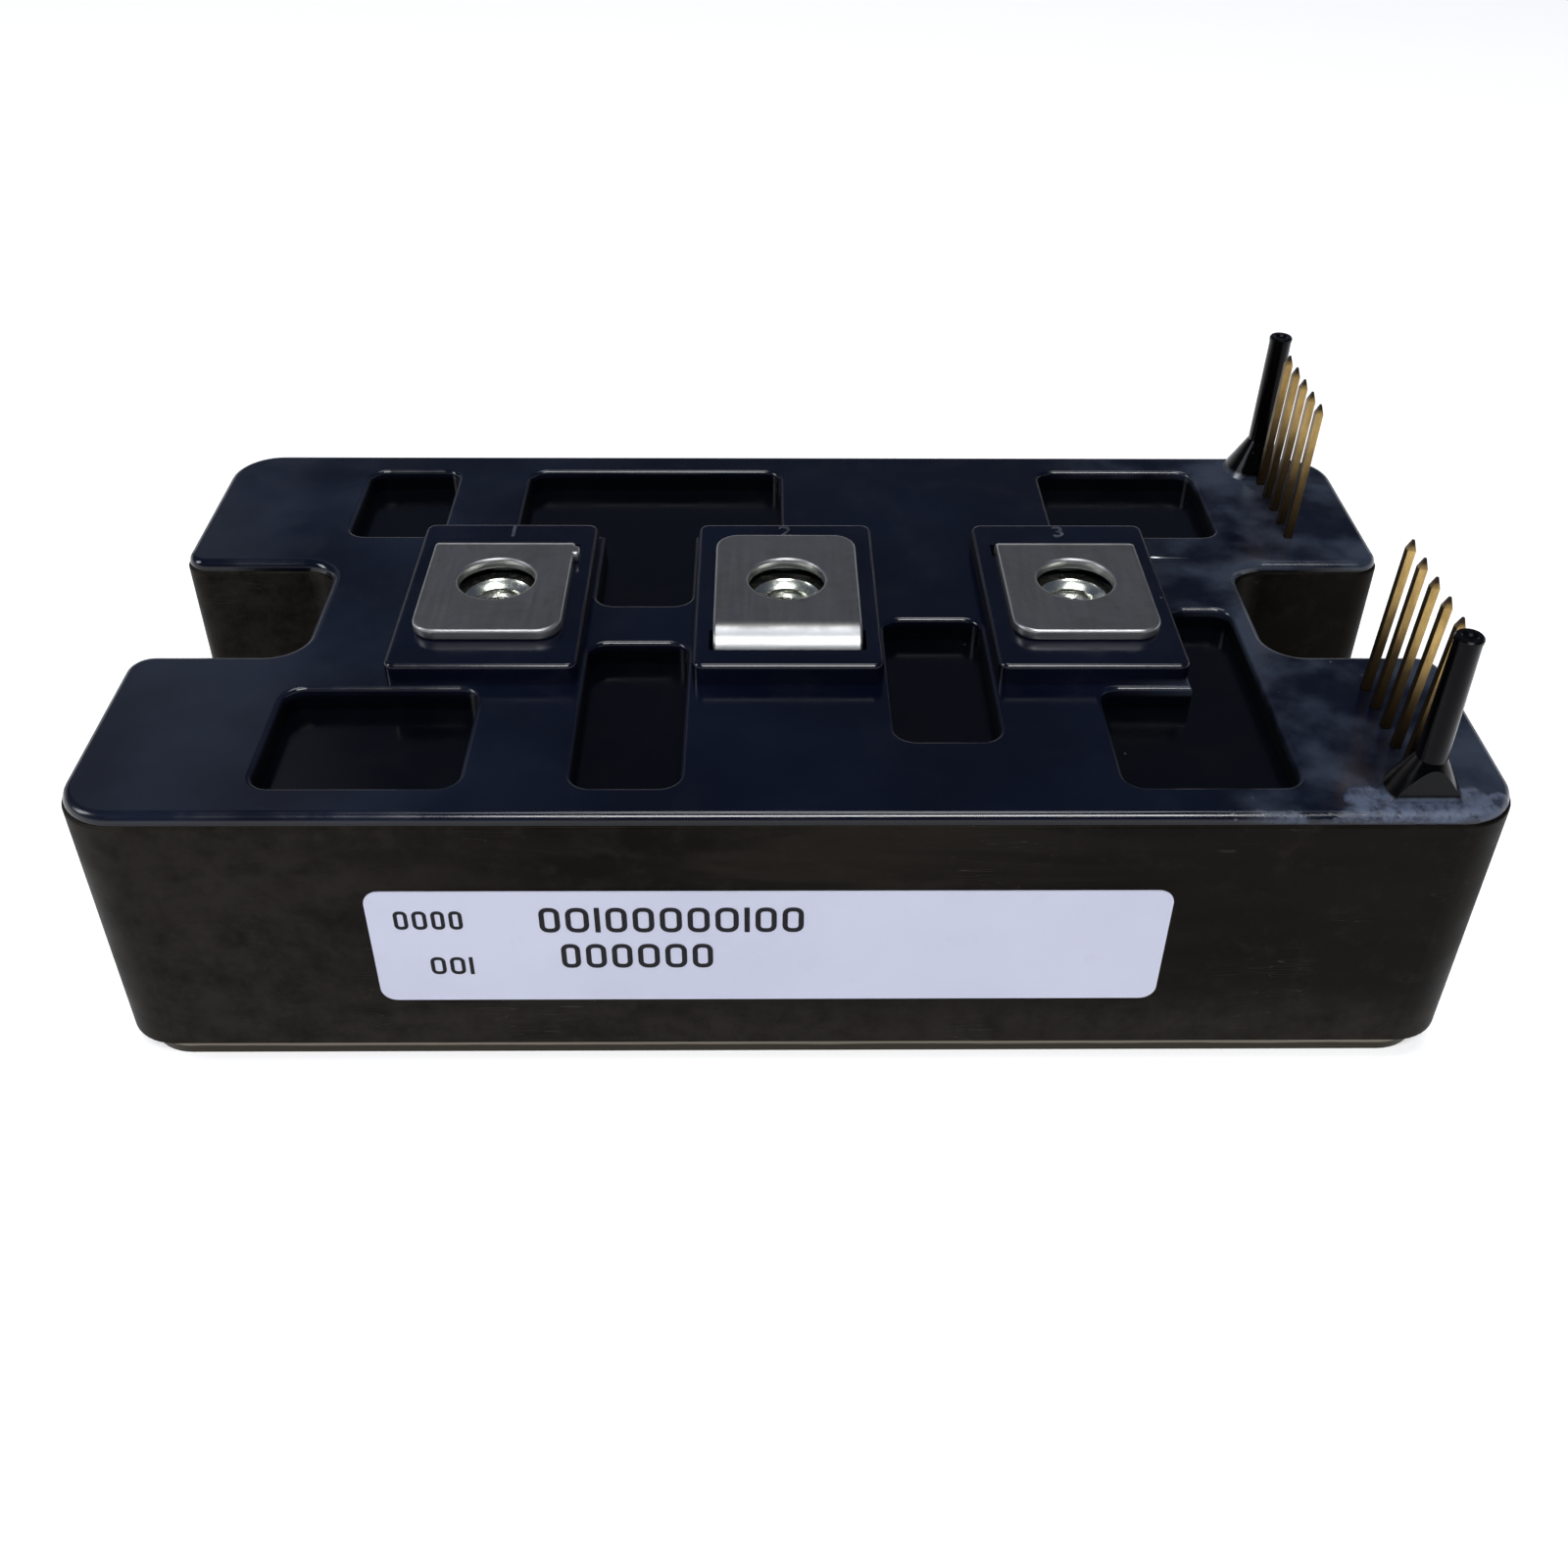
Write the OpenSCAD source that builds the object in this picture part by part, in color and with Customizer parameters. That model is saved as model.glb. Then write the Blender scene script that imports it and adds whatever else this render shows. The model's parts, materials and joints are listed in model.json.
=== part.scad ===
// Dual-switch intelligent power module: a black moulded case on a nickel-plated
// copper base plate, with three screw busbars over captive nuts and two rows of
// control pins. Origin at the centre of the underside, +Z up, +X towards the
// control pins, -Y towards the label.

/* [Case] */
// Length of the module, end to end
body_l = 106; // [102:1:120]
// Width of the module, label side to back
body_w = 56; // [54:1:68]
// Height of the lid's flat top above the underside
body_h = 25.3; // [24.8:0.1:30]
// Radius of the four upright outer corners
corner_r = 4.3; // [3:0.1:5]
// Thickness of the case's outer walls
wall_t = 2.2; // [1.8:0.1:2.6]
// Thickness of the case's wall round each end notch
notch_wall_t = 1.4; // [1:0.1:1.6]
// Radius of the case's inner corners
cavity_r = 2; // [1:0.1:3]
// Height of the case's lower edge above the underside
skirt_z = 2.1; // [1.5:0.1:3]
// Rounding of the case's upper edge along the joint with the lid
joint_r = 0.2; // [0.1:0.05:0.3]

/* [End notches] */
// Width of the notch that a mounting screw stands in
notch_w = 14.2; // [12:0.1:15]
// Depth of the notch from the end face
notch_d = 13.55; // [12:0.05:14.5]
// Radius of the notch's two inner corners
notch_r = 3; // [1.5:0.1:4]
// Radius of the notch's two mouth corners
mouth_r = 2; // [1.2:0.1:3]

/* [Base plate] */
// Thickness of the base plate
plate_t = 4; // [3.2:0.1:5]
// Distance of the plate's edge inside the case's outer face
plate_inset = 1; // [0.6:0.1:1.4]
// Radius of the plate's upright corners
plate_r = 4; // [2:0.1:6]
// Radius of the two mounting holes
mount_hole_r = 2.75; // [2.2:0.05:3.2]
// Distance of a mounting hole's centre from the end face
mount_hole_edge = 6.5; // [5:0.1:8]

/* [Lid] */
// Thickness of the lid's flange, down to the joint line
flange_t = 0.9; // [0.85:0.05:1.4]
// Distance of the lid's edge inside the case's outer face
flange_inset = 0.15; // [0:0.05:0.3]
// Rounding of the lid's top edge
edge_r = 0.75; // [0.4:0.05:0.8]
// Depth of the lid's plug below its flange
plug_t = 2.6; // [2.3:0.1:4]
// Gap between the lid's plug and the case's walls
plug_gap = 0.05; // [0.02:0.01:0.15]

/* [Terminal platforms] */
// Distance between neighbouring terminals
terminal_pitch = 24.2; // [23:0.1:25]
// Length of a platform along the module
platform_l = 15.2; // [14:0.1:16]
// Width of a platform across the module
platform_w = 22.5; // [21:0.1:23]
// How far the platforms lie from the centre line towards the label
platform_shift = 0.25; // [0:0.05:0.5]
// Height of a platform above the lid's top
platform_h = 1.8; // [1.2:0.1:2.4]
// Radius of a platform's upright corners
platform_r = 0.9; // [0.7:0.1:2]
// Rounding of a platform's top edge
platform_edge_r = 0.4; // [0.2:0.1:0.6]
// Height of the bosses' lower ends above the underside
boss_z = 16; // [15.8:0.1:17]

/* [Lid pockets] */
// Depth of the pockets below the lid's top
pocket_depth = 2; // [1.2:0.1:2.2]
// Radius of a pocket's upright corners
pocket_r = 1.6; // [0.8:0.1:2]
// Rounding of a pocket's top edge
pocket_edge_r = 0.4; // [0.2:0.05:0.6]
// Land between a pocket and the lid's long edges
pocket_side_land = 3.5; // [3:0.1:4.5]
// Land between a pocket and the end face
pocket_end_land = 13.6; // [12:0.1:15]
// Land between a platform and the pockets in front of it
front_land = 0.5; // [0.5:0.1:2]
// Land between a platform and the pockets behind it
back_land = 1; // [0.7:0.1:2]
// Flat left between a pocket's rounded edge and the platforms beside it
pocket_side_gap = 0.05; // [0.02:0.01:1]
// Length of the pocket behind the left terminal
corner_pocket_l = 8.4; // [5:0.1:10]
// Land between the right end notch and the pocket beside it
notch_land = 1.85; // [1.8:0.05:3]
// Width of the pocket's arm beside the right terminal
side_arm_w = 5.6; // [4:0.1:5.8]
// Reach of the front pocket from the lid's edge towards the centre line
front_pocket_w = 19; // [14:0.1:21]
// Reach of the plain front pocket's far end behind the centre line
short_pocket_y = 1.9; // [1:0.1:4]
// Width of the plain front pocket
short_pocket_w = 17; // [10:0.1:19]
// Distance of the side arms' ends from the centre line
arm_end_y = 0.3; // [0:0.1:2]

/* [Busbar terminals] */
// Width of a terminal strip
strip_w = 12; // [10:0.1:13]
// Thickness of a terminal strip
strip_t = 1; // [0.8:0.1:1.2]
// Radius of the screw hole in a terminal
strip_hole_r = 3.2; // [2.7:0.05:3.6]
// Distance of an outer terminal's free end from the centre line
outer_free_y = 8; // [6:0.1:9]
// Distance of an outer terminal's fold from the centre line
outer_fold_y = 7; // [6.6:0.1:8.5]
// Outer radius of an outer terminal's fold
outer_fold_r = 1.6; // [1.4:0.1:2.2]
// Distance of the middle terminal's free end from the centre line
middle_free_y = 7.4; // [6:0.1:9]
// Distance of the middle terminal's fold from the centre line
middle_fold_y = 9; // [8.4:0.1:9.2]
// Outer radius of the middle terminal's fold
middle_fold_r = 2.6; // [1.6:0.1:3]
// Corner radius of a terminal's free end
strip_corner_r = 2; // [0.5:0.1:3]
// Corner radius at the fold of the right terminal
fold_corner_r = 1.3; // [0.5:0.1:2]
// Width of the cut tie bar left on the left terminal
tie_nub_w = 0.5; // [0.2:0.1:0.8]
// Outer radius of the bend above a terminal's foot
foot_bend_r = 1.6; // [1.4:0.1:2]
// Length of an outer terminal's soldered foot
outer_foot_l = 3.9; // [2:0.1:5]
// Length of the middle terminal's soldered foot
middle_foot_l = 3.9; // [2:0.1:5]
// Gap between a terminal and its slot in the lid
slot_gap = 0.3; // [0.15:0.05:0.5]

/* [Captive nuts] */
// Width across the flats of the nuts
nut_af = 8; // [7:0.1:8.5]
// Height of the nuts
nut_h = 4; // [3:0.1:4.5]
// Radius of the nuts' threaded bore
nut_bore_r = 2.1; // [1.6:0.05:2.6]
// Radius of the countersink in the nuts' faces
nut_sink_r = 2.6; // [2.2:0.05:3]
// Distance of the nuts' top below the platforms' top
nut_drop = 0.8; // [0.3:0.1:1.2]
// Gap round a nut in its pocket
nut_gap = 0.1; // [0.05:0.05:0.2]
// Radius of the clearance hole for a screw's end
screw_end_r = 2.8; // [2.6:0.1:3.2]
// Thickness of the floor under a screw's end
screw_floor_t = 1.2; // [0.8:0.1:2]

/* [Control pins and guide posts] */
// Side of the square control pins
pin_a = 0.64; // [0.5:0.01:0.8]
// Distance between neighbouring control pins
pin_pitch = 2.54; // [2:0.01:2.6]
// Number of control pins in each row
pins_per_row = 5; // [2:1:5]
// Distance of each row's middle from the case's long side
pin_row_edge = 10.9; // [10.8:0.1:12]
// Distance of the control pins from the end face
pin_edge = 7.3; // [6:0.1:9]
// Height of the pins above the lid's top
pin_h = 12.9; // [8:0.1:15]
// Length of the pins' chamfered tips
pin_tip_h = 0.8; // [0.3:0.1:1]
// Length of the pins below the control board
pin_tail = 0.8; // [0.3:0.1:1.5]
// Gap round a pin in the lid and in the board
pin_gap = 0.05; // [0.02:0.01:0.1]
// Lean of the back row's pins towards the end face, in degrees
back_row_lean = 1.3; // [0:0.1:3]
// Lean of the front row's pins towards the end face, in degrees
front_row_lean = 4.2; // [0:0.1:6]
// Distance of the guide posts from the end face
post_edge_x = 7.2; // [6:0.1:10]
// Distance of the guide posts from the lid's long edges
post_edge_y = 2.85; // [2.6:0.05:3.5]
// Radius of a guide post at its tip
post_tip_r = 0.97; // [0.7:0.01:1.2]
// Radius of a guide post above its foot
post_r = 1.12; // [1:0.01:1.4]
// Height of the guide posts above the lid's top
post_h = 13.5; // [8:0.1:16]
// Radius of a guide post's flared foot
post_foot_r = 3; // [2.4:0.05:3.5]
// Height of a guide post's flared foot
post_foot_h = 3.3; // [2:0.1:4]
// Distance of the foot's outer flat from the lid's long edge
post_flat_edge = 1.5; // [1.2:0.1:2]
// Distance of the foot's inner flat from the post's middle
post_flat_inner = 2.35; // [1.8:0.05:2.6]

/* [Label] */
// Length of the label
label_l = 60; // [40:1:70]
// Height of the label
label_h = 11.2; // [8:0.1:14]
// Thickness of the label
label_t = 0.15; // [0.05:0.05:0.2]
// Corner radius of the label
label_r = 1.2; // [0.5:0.1:2]
// Distance of the label's middle from the module's middle
label_x = -1.5; // [-4:0.1:4]
// Height of the label's middle above the underside
label_z = 12.7; // [11:0.1:14]

/* [Substrates and chips] */
// Gap between a ceramic tile and the case's ledge at the end notch
tile_end_gap = 0.55; // [0.3:0.05:1.5]
// Gap between a ceramic tile and the case's ledge along the long walls
tile_side_gap = 2.3; // [1.3:0.1:2.7]
// Thickness of a ceramic tile
tile_t = 0.63; // [0.3:0.01:1]
// Thickness of the copper on both faces of a tile
foil_t = 0.3; // [0.2:0.05:0.5]
// Bare ceramic left round the copper
foil_margin = 0.8; // [0.5:0.1:0.9]
// Gap between the two tiles
tile_gap = 2; // [1:0.1:2.2]
// Gap between neighbouring copper tracks
track_gap = 0.8; // [0.5:0.1:1]
// Side of a switch chip
igbt_a = 9; // [7:0.1:9]
// Side of a diode chip
diode_a = 6; // [5:0.1:6]
// Thickness of the chips
chip_t = 0.4; // [0.2:0.05:0.6]
// Diameter of the bond wires
wire_d = 0.4; // [0.2:0.05:0.45]
// Distance between neighbouring bond wires
wire_pitch = 1.5; // [1.2:0.1:1.5]
// Rise of a main bond loop above the chips
loop_rise = 2.2; // [1.5:0.1:2.6]

/* [Control board and potting] */
// Height of the control board's underside above the underside of the module
board_z = 13; // [12.2:0.1:13]
// Thickness of the control board
board_t = 1.6; // [1:0.1:1.8]
// Width of the ledge that the board rests on
ledge_w = 1.5; // [1:0.1:1.6]
// Gap between the board's edge and the case
board_gap = 0.2; // [0.1:0.05:0.4]
// Height of the silicone gel's surface above the underside
gel_z = 10.5; // [9.4:0.1:11.5]
// Side of the square gate and sense pins
link_a = 0.6; // [0.4:0.05:0.7]
// Length of a driver chip's body
driver_l = 10; // [8:0.1:12]
// Width of a driver chip's body
driver_w = 7.5; // [6:0.1:7.5]
// Height of a driver chip's body
driver_h = 2.2; // [1.5:0.1:2.6]
// Leads on each side of a driver chip
driver_leads = 7; // [4:1:8]
// Length of a supply capacitor
cap_l = 7.3; // [5:0.1:8]
// Width of a supply capacitor
cap_w = 4.3; // [3:0.1:5]
// Height of a supply capacitor
cap_h = 2.8; // [2:0.1:3.5]
// Distance of the driver chips from the board's edge
driver_inset = 9.1; // [8:0.1:9.5]
// Distance of the capacitors from the board's edge
cap_inset = 7.6; // [5:0.1:8]

/* [Hidden] */
$fn = 48;
through = 0.5;
sides = [-1, 1];

plate_l = body_l - 2 * plate_inset;
plate_w = body_w - 2 * plate_inset;
plate_gap = 0.1;
mount_hole_x = body_l / 2 - mount_hole_edge;

notch_x = body_l / 2 - notch_d;
joint_z = body_h - flange_t;
plug_z = joint_z - plug_t;
case_h = joint_z - skirt_z;
top_z = body_h + platform_h;

cavity_x = body_l / 2 - wall_t;
cavity_y = body_w / 2 - wall_t;
cavity_notch_x = notch_x - notch_wall_t;
cavity_notch_y = notch_w / 2 + notch_wall_t;

pocket_end_x = body_l / 2 - pocket_end_land;
pocket_side_y = body_w / 2 - pocket_side_land;
pocket_front_y = platform_w / 2 + platform_shift + front_land;
pocket_back_y = platform_w / 2 - platform_shift + back_land;
gap_pocket_l = terminal_pitch - platform_l - 2 * (pocket_edge_r + pocket_side_gap);
gap_pocket_x = terminal_pitch / 2;
notch_pocket_x = notch_x - notch_land;

tie_nub_l = 1.2;

nut_top_z = top_z - nut_drop;
nut_z = nut_top_z - nut_h;
nut_sink_h = nut_sink_r - nut_bore_r;
nut_corner_r = nut_af / sqrt(3);
nut_chamfer_h = 0.45;
nut_face_r = 0.485 * nut_af;

pin_x = body_l / 2 - pin_edge;
pin_row_y = body_w / 2 - pin_row_edge;
post_x = body_l / 2 - post_edge_x;
post_y = body_w / 2 - post_edge_y;
post_lip_h = 0.35;
post_lip_out = 0.05;
post_tip_chamfer = 0.1;
post_dish_r = 0.6;
post_dish_h = 0.25;
post_dish_ball_r = (post_dish_r * post_dish_r + post_dish_h * post_dish_h) / (2 * post_dish_h);

ledge_x = cavity_notch_x - ledge_w;
ledge_y = cavity_y - ledge_w;
tile_l = ledge_x - tile_end_gap - tile_gap / 2;
tile_w = 2 * (ledge_y - tile_side_gap);
tile_x = (tile_gap + tile_l) / 2;
tile_z = plate_t + foil_t;
track_z = tile_z + tile_t;
chip_z = track_z + foil_t;
wire_z = chip_z + chip_t;
copper_x = tile_l / 2 - foil_margin;
copper_y = tile_w / 2 - foil_margin;

// Places on a tile, from its centre
chip_land = 4.7;
chip_gap = 2;
diode_land = 0.9;
igbt_x = -copper_x + chip_land + igbt_a / 2;
diode_x = igbt_x + igbt_a / 2 + chip_gap + diode_a / 2;
collector_edge_x = diode_x + diode_a / 2 + diode_land;
emitter_edge_x = collector_edge_x + track_gap;
landing_share = 0.48;
landing_x = emitter_edge_x + landing_share * (copper_x - emitter_edge_x);
gate_pad_l = 4;
gate_pad_w = 1.2;
gate_land = 1;
first_row_y = -copper_y + gate_pad_w + gate_land + igbt_a / 2;
row_y = [first_row_y, first_row_y + igbt_a + gate_land];
gate_pad_x = igbt_x;
gate_y = [-copper_y + gate_pad_w / 2, row_y[1] + igbt_a / 2 + gate_land + gate_pad_w / 2];
gate_wire_x = gate_pad_x - 1;
gate_pin_x = gate_pad_x + 1.1;
gate_bond_in = 0.8;
gate_loop_rise = 0.4;
sense_end_in = 1.7;
sense_x = copper_x - sense_end_in;
sense_y = copper_y - 3.2;
foot_land = 0.5;
arm_split_y = outer_fold_y - strip_t - foot_land - track_gap;
arm_split_x = gate_pad_x + 3.5;
wires_per_chip = 4;
bond_l = 1;
bond_w = 0.6;
bond_h = 0.3;
tunnel_gap = 0.05;

board_top_z = board_z + board_t;
board_edge_y = cavity_y - board_gap;
board_end_gap = 1.05;
board_start_x = board_end_gap - ledge_x;
window_gap = 1.2;
link_tail = 0.6;
driver_x = gap_pocket_x;
driver_y = board_edge_y - driver_inset;
lead_w = 0.4;
lead_t = 0.2;
lead_reach = 1.4;
cap_reach = 4.3;
cap_x = terminal_pitch + cap_reach;
cap_y = board_edge_y - cap_inset;
cap_r = 0.3;

// Lean of one pin: towards the end face, and towards the centre line. The front
// row is bent in more at its inner end.
inner_pin_lean = 4.4;
lean_step = 0.75;
function row_lean(row) = row < 0 ? front_row_lean : back_row_lean;
function inward_lean(row, k) = row < 0 ? inner_pin_lean - lean_step * k : 0;
function pin_y(row, k) = row * (pin_row_y + (k - (pins_per_row - 1) / 2) * pin_pitch);

// ---------- shared shapes ----------

// Block with round upright corners, centred on X and Y, standing on Z = 0
module rounded_block(l, w, h, r) {
    translate([-l / 2 + r, -w / 2, 0]) cube([l - 2 * r, w, h]);
    translate([-l / 2, -w / 2 + r, 0]) cube([l, w - 2 * r, h]);
    for (sx = sides, sy = sides)
        translate([sx * (l / 2 - r), sy * (w / 2 - r), 0]) cylinder(r = r, h = h);
}

// Half section of a block whose top edge is rounded: reach x, height y
module soft_edge(reach, h, f) {
    square([reach, h - f]);
    square([reach - f, h]);
    translate([reach - f, h - f]) intersection() {
        circle(f);
        square(f);
    }
}

// Half section of a cutter whose top edge flares outward, drawn past its top
module flared_edge(reach, h, f) {
    square([reach, h]);
    translate([0, h]) square([reach + f, through]);
    difference() {
        translate([reach, h - f]) square(f);
        translate([reach + f, h - f]) circle(f);
    }
}

// Bar along X from x0 to x1, both long sides of the section at +-reach
module soft_bar(x0, x1, reach, h, f) {
    translate([x0, 0, 0]) rotate([90, 0, 90]) linear_extrude(x1 - x0)
        for (m = [0, 1]) mirror([m, 0]) soft_edge(reach, h, f);
}

module flared_bar(x0, x1, reach, h, f) {
    translate([x0, 0, 0]) rotate([90, 0, 90]) linear_extrude(x1 - x0)
        for (m = [0, 1]) mirror([m, 0]) flared_edge(reach, h, f);
}

// Round post whose top edge is rounded
module soft_post(r, h, f) {
    rotate_extrude() soft_edge(r, h, f);
}

module flared_post(r, h, f) {
    rotate_extrude() flared_edge(r, h, f);
}

// Block with round upright corners and a rounded top edge
module soft_block(l, w, h, r, f) {
    soft_bar(-l / 2 + r, l / 2 - r, w / 2, h, f);
    rotate([0, 0, 90]) soft_bar(-w / 2 + r, w / 2 - r, l / 2, h, f);
    for (sx = sides, sy = sides)
        translate([sx * (l / 2 - r), sy * (w / 2 - r), 0]) soft_post(r, h, f);
}

// Cutter from x0 to x1 and y0 to y1 with round corners and a flared top edge
module flared_cutter(x0, x1, y0, y1, h, r, f) {
    l = x1 - x0;
    w = y1 - y0;
    translate([(x0 + x1) / 2, (y0 + y1) / 2, 0]) {
        flared_bar(-l / 2 + r, l / 2 - r, w / 2, h, f);
        rotate([0, 0, 90]) flared_bar(-w / 2 + r, w / 2 - r, l / 2, h, f);
        for (sx = sides, sy = sides)
            translate([sx * (l / 2 - r), sy * (w / 2 - r), 0]) flared_post(r, h, f);
    }
}

// One lobe beside a notch: x from the notch's inner end to the end face
module lobe(l, w, half_notch, x_in, h, r, r_mouth, f) {
    x_root = x_in - 2 * f;
    mid_x = (x_root + l / 2) / 2;
    mid_y = (half_notch + w / 2) / 2;
    half_y = (w / 2 - half_notch) / 2;
    flat_0 = half_notch + r_mouth;
    flat_1 = w / 2 - r;
    translate([0, mid_y, 0]) soft_bar(x_root, l / 2 - r, half_y, h, f);
    intersection() {
        translate([0, mid_y, 0]) soft_bar(x_root, l / 2 - r_mouth, half_y, h, f);
        cube([l / 2, flat_1, h]);
    }
    translate([mid_x, 0, 0]) rotate([0, 0, 90]) soft_bar(flat_0, flat_1, l / 2 - mid_x, h, f);
    translate([l / 2 - r, flat_1, 0]) soft_post(r, h, f);
    translate([l / 2 - r_mouth, flat_0, 0]) soft_post(r_mouth, h, f);
}

// Rounded filler in the notch's inner corner
module notch_corner(half_notch, x_in, h, r, f) {
    difference() {
        translate([x_in - f, half_notch - r, 0]) cube([r + f, r + f, h]);
        translate([x_in + r, half_notch - r, 0]) flared_post(r, h, f);
    }
}

// The module's outline with its two end notches, rounded along the top edge
module notched_block(inset, h, f) {
    l = body_l - 2 * inset;
    w = body_w - 2 * inset;
    half_notch = notch_w / 2 + inset;
    x_in = notch_x - inset;
    soft_bar(-x_in + f, x_in - f, w / 2, h, f);
    rotate([0, 0, 90]) soft_bar(-w / 2 + corner_r, w / 2 - corner_r, x_in, h, f);
    for (mx = [0, 1], my = [0, 1]) mirror([mx, 0, 0]) mirror([0, my, 0]) {
        lobe(l, w, half_notch, x_in, h, corner_r, mouth_r, f);
        notch_corner(half_notch, x_in, h, notch_r, f);
    }
}

// The space inside the case's walls, drawn in by shrink all round
module cavity_block(h, shrink) {
    difference() {
        rounded_block(2 * (cavity_x - shrink), 2 * (cavity_y - shrink), h, cavity_r);
        for (s = sides)
            translate([s * (cavity_notch_x - shrink + body_l / 4), 0, h / 2])
                cube([body_l / 2, 2 * (cavity_notch_y + shrink), h + 2 * through], center = true);
    }
}

// ---------- case, lid and base ----------

module base_plate() {
    color("#b7b2a6") difference() {
        rounded_block(plate_l, plate_w, plate_t, plate_r);
        for (s = sides)
            translate([s * mount_hole_x, 0, -through])
                cylinder(r = mount_hole_r, h = plate_t + 2 * through);
    }
}

module case_frame() {
    color("#26241f") difference() {
        translate([0, 0, skirt_z]) notched_block(0, case_h, joint_r);
        translate([0, 0, skirt_z - through])
            rounded_block(plate_l + 2 * plate_gap, plate_w + 2 * plate_gap,
                          plate_t - skirt_z + through, plate_r + plate_gap);
        translate([0, 0, plate_t - through])
            cavity_block(board_z - plate_t + 2 * through, ledge_w);
        translate([0, 0, board_z]) cavity_block(joint_z - board_z + through, 0);
    }
}

// Flared foot and tapered shaft with a shallow dish in the lipped tip
module guide_post() {
    difference() {
        intersection() {
            rotate_extrude() polygon([
                [0, -flange_t / 2],
                [post_foot_r, -flange_t / 2],
                [post_foot_r, 0],
                [post_r, post_foot_h],
                [post_tip_r, post_h - post_lip_h],
                [post_tip_r + post_lip_out, post_h - post_lip_h],
                [post_tip_r + post_lip_out, post_h - post_tip_chamfer],
                [post_tip_r + post_lip_out - post_tip_chamfer, post_h],
                [0, post_h]
            ]);
            translate([-post_foot_r, -post_flat_inner, -flange_t])
                cube([2 * post_foot_r, post_flat_inner + post_edge_y - post_flat_edge,
                      post_h + 2 * flange_t]);
        }
        translate([0, 0, post_h - post_dish_h + post_dish_ball_r]) sphere(r = post_dish_ball_r);
    }
}

module pocket(x0, x1, y0, y1) {
    flared_cutter(x0, x1, y0, y1, pocket_depth, pocket_r, pocket_edge_r);
}

module lid_pockets() {
    translate([0, 0, body_h - pocket_depth]) {
        // behind the left terminal, short
        pocket(-pocket_end_x, -pocket_end_x + corner_pocket_l, pocket_back_y, pocket_side_y);
        // T shape behind and between the left and middle terminals
        pocket(-terminal_pitch, -arm_end_y, pocket_back_y, pocket_side_y);
        pocket(-gap_pocket_x - gap_pocket_l / 2, -gap_pocket_x + gap_pocket_l / 2,
               arm_end_y, pocket_side_y);
        // behind the right terminal
        pocket(terminal_pitch + arm_end_y, pocket_end_x, pocket_back_y, pocket_side_y);
        // in front of the left terminal
        pocket(-pocket_end_x, -terminal_pitch, -pocket_side_y, -pocket_front_y);
        // front, between the left and middle terminals
        pocket(-gap_pocket_x - gap_pocket_l / 2, -gap_pocket_x + gap_pocket_l / 2,
               -pocket_side_y, -pocket_side_y + front_pocket_w);
        // front, between the middle and right terminals
        pocket(gap_pocket_x - gap_pocket_l / 2, gap_pocket_x + gap_pocket_l / 2,
               -short_pocket_y - short_pocket_w, -short_pocket_y);
        // L shape in front of and beside the right terminal
        pocket(terminal_pitch + arm_end_y, notch_pocket_x, -pocket_side_y, -pocket_front_y);
        pocket(notch_pocket_x - side_arm_w, notch_pocket_x, -pocket_side_y, -arm_end_y);
    }
}

// Slot for a terminal's leg, with the leg's outer face at fold and wider at the
// top, where the strip bends over
module leg_slot(fold, bend_r) {
    slot_l = strip_w + 2 * slot_gap;
    translate([-slot_l / 2, fold - strip_t - slot_gap, boss_z - through])
        cube([slot_l, strip_t + 2 * slot_gap, top_z - boss_z + 2 * through]);
    translate([-slot_l / 2, fold - bend_r, top_z - bend_r])
        cube([slot_l, bend_r + slot_gap, bend_r + through]);
}

module nut_pocket(x) {
    translate([x, 0, nut_z]) cylinder(r = nut_corner_r + nut_gap, h = top_z - nut_z + through, $fn = 6);
    translate([x, 0, boss_z + screw_floor_t])
        cylinder(r = screw_end_r, h = nut_z - boss_z - screw_floor_t + through);
}

module lid() {
    color("#1c2330") difference() {
        union() {
            translate([0, 0, joint_z]) notched_block(flange_inset, flange_t, edge_r);
            translate([0, 0, plug_z]) cavity_block(plug_t + flange_t / 2, plug_gap);
            for (i = [-1 : 1]) translate([i * terminal_pitch, -platform_shift, 0]) {
                translate([0, 0, boss_z])
                    rounded_block(platform_l, platform_w, joint_z - boss_z, platform_r);
                translate([0, 0, joint_z])
                    soft_block(platform_l, platform_w, flange_t + platform_h, platform_r,
                               platform_edge_r);
            }
            for (m = [0, 1]) mirror([0, m, 0])
                translate([post_x, post_y, body_h]) guide_post();
        }
        lid_pockets();
        for (s = sides)
            translate([s * terminal_pitch, 0, 0]) leg_slot(outer_fold_y, outer_fold_r);
        mirror([0, 1, 0]) leg_slot(middle_fold_y, middle_fold_r);
        for (i = [-1 : 1]) nut_pocket(i * terminal_pitch);
        for (row = sides, k = [0 : pins_per_row - 1])
            translate([pin_x, pin_y(row, k), (plug_z + body_h) / 2])
                cube([pin_a + 2 * pin_gap, pin_a + 2 * pin_gap, body_h - plug_z + 2 * through],
                     center = true);
    }
}

module rating_label() {
    color("#d3d5ea") translate([label_x, -body_w / 2, label_z]) rotate([90, 0, 0])
        rounded_block(label_l, label_h, label_t, label_r);
}

// ---------- busbar terminals and nuts ----------

// Quarter bend in the YZ plane about the X axis, of outer radius r, width w
module quarter_bend(r, w) {
    translate([-w / 2, 0, 0]) rotate([90, 0, 90]) intersection() {
        linear_extrude(w) difference() {
            circle(r);
            circle(r - strip_t);
        }
        cube([r, r, w]);
    }
}

// Square corner less its quarter circle, to round a sheet's corner of radius r
module corner_cutter(r) {
    translate([0, 0, -through]) difference() {
        cube([r + through, r + through, strip_t + 2 * through]);
        cylinder(r = r, h = strip_t + 2 * through);
    }
}

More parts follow.
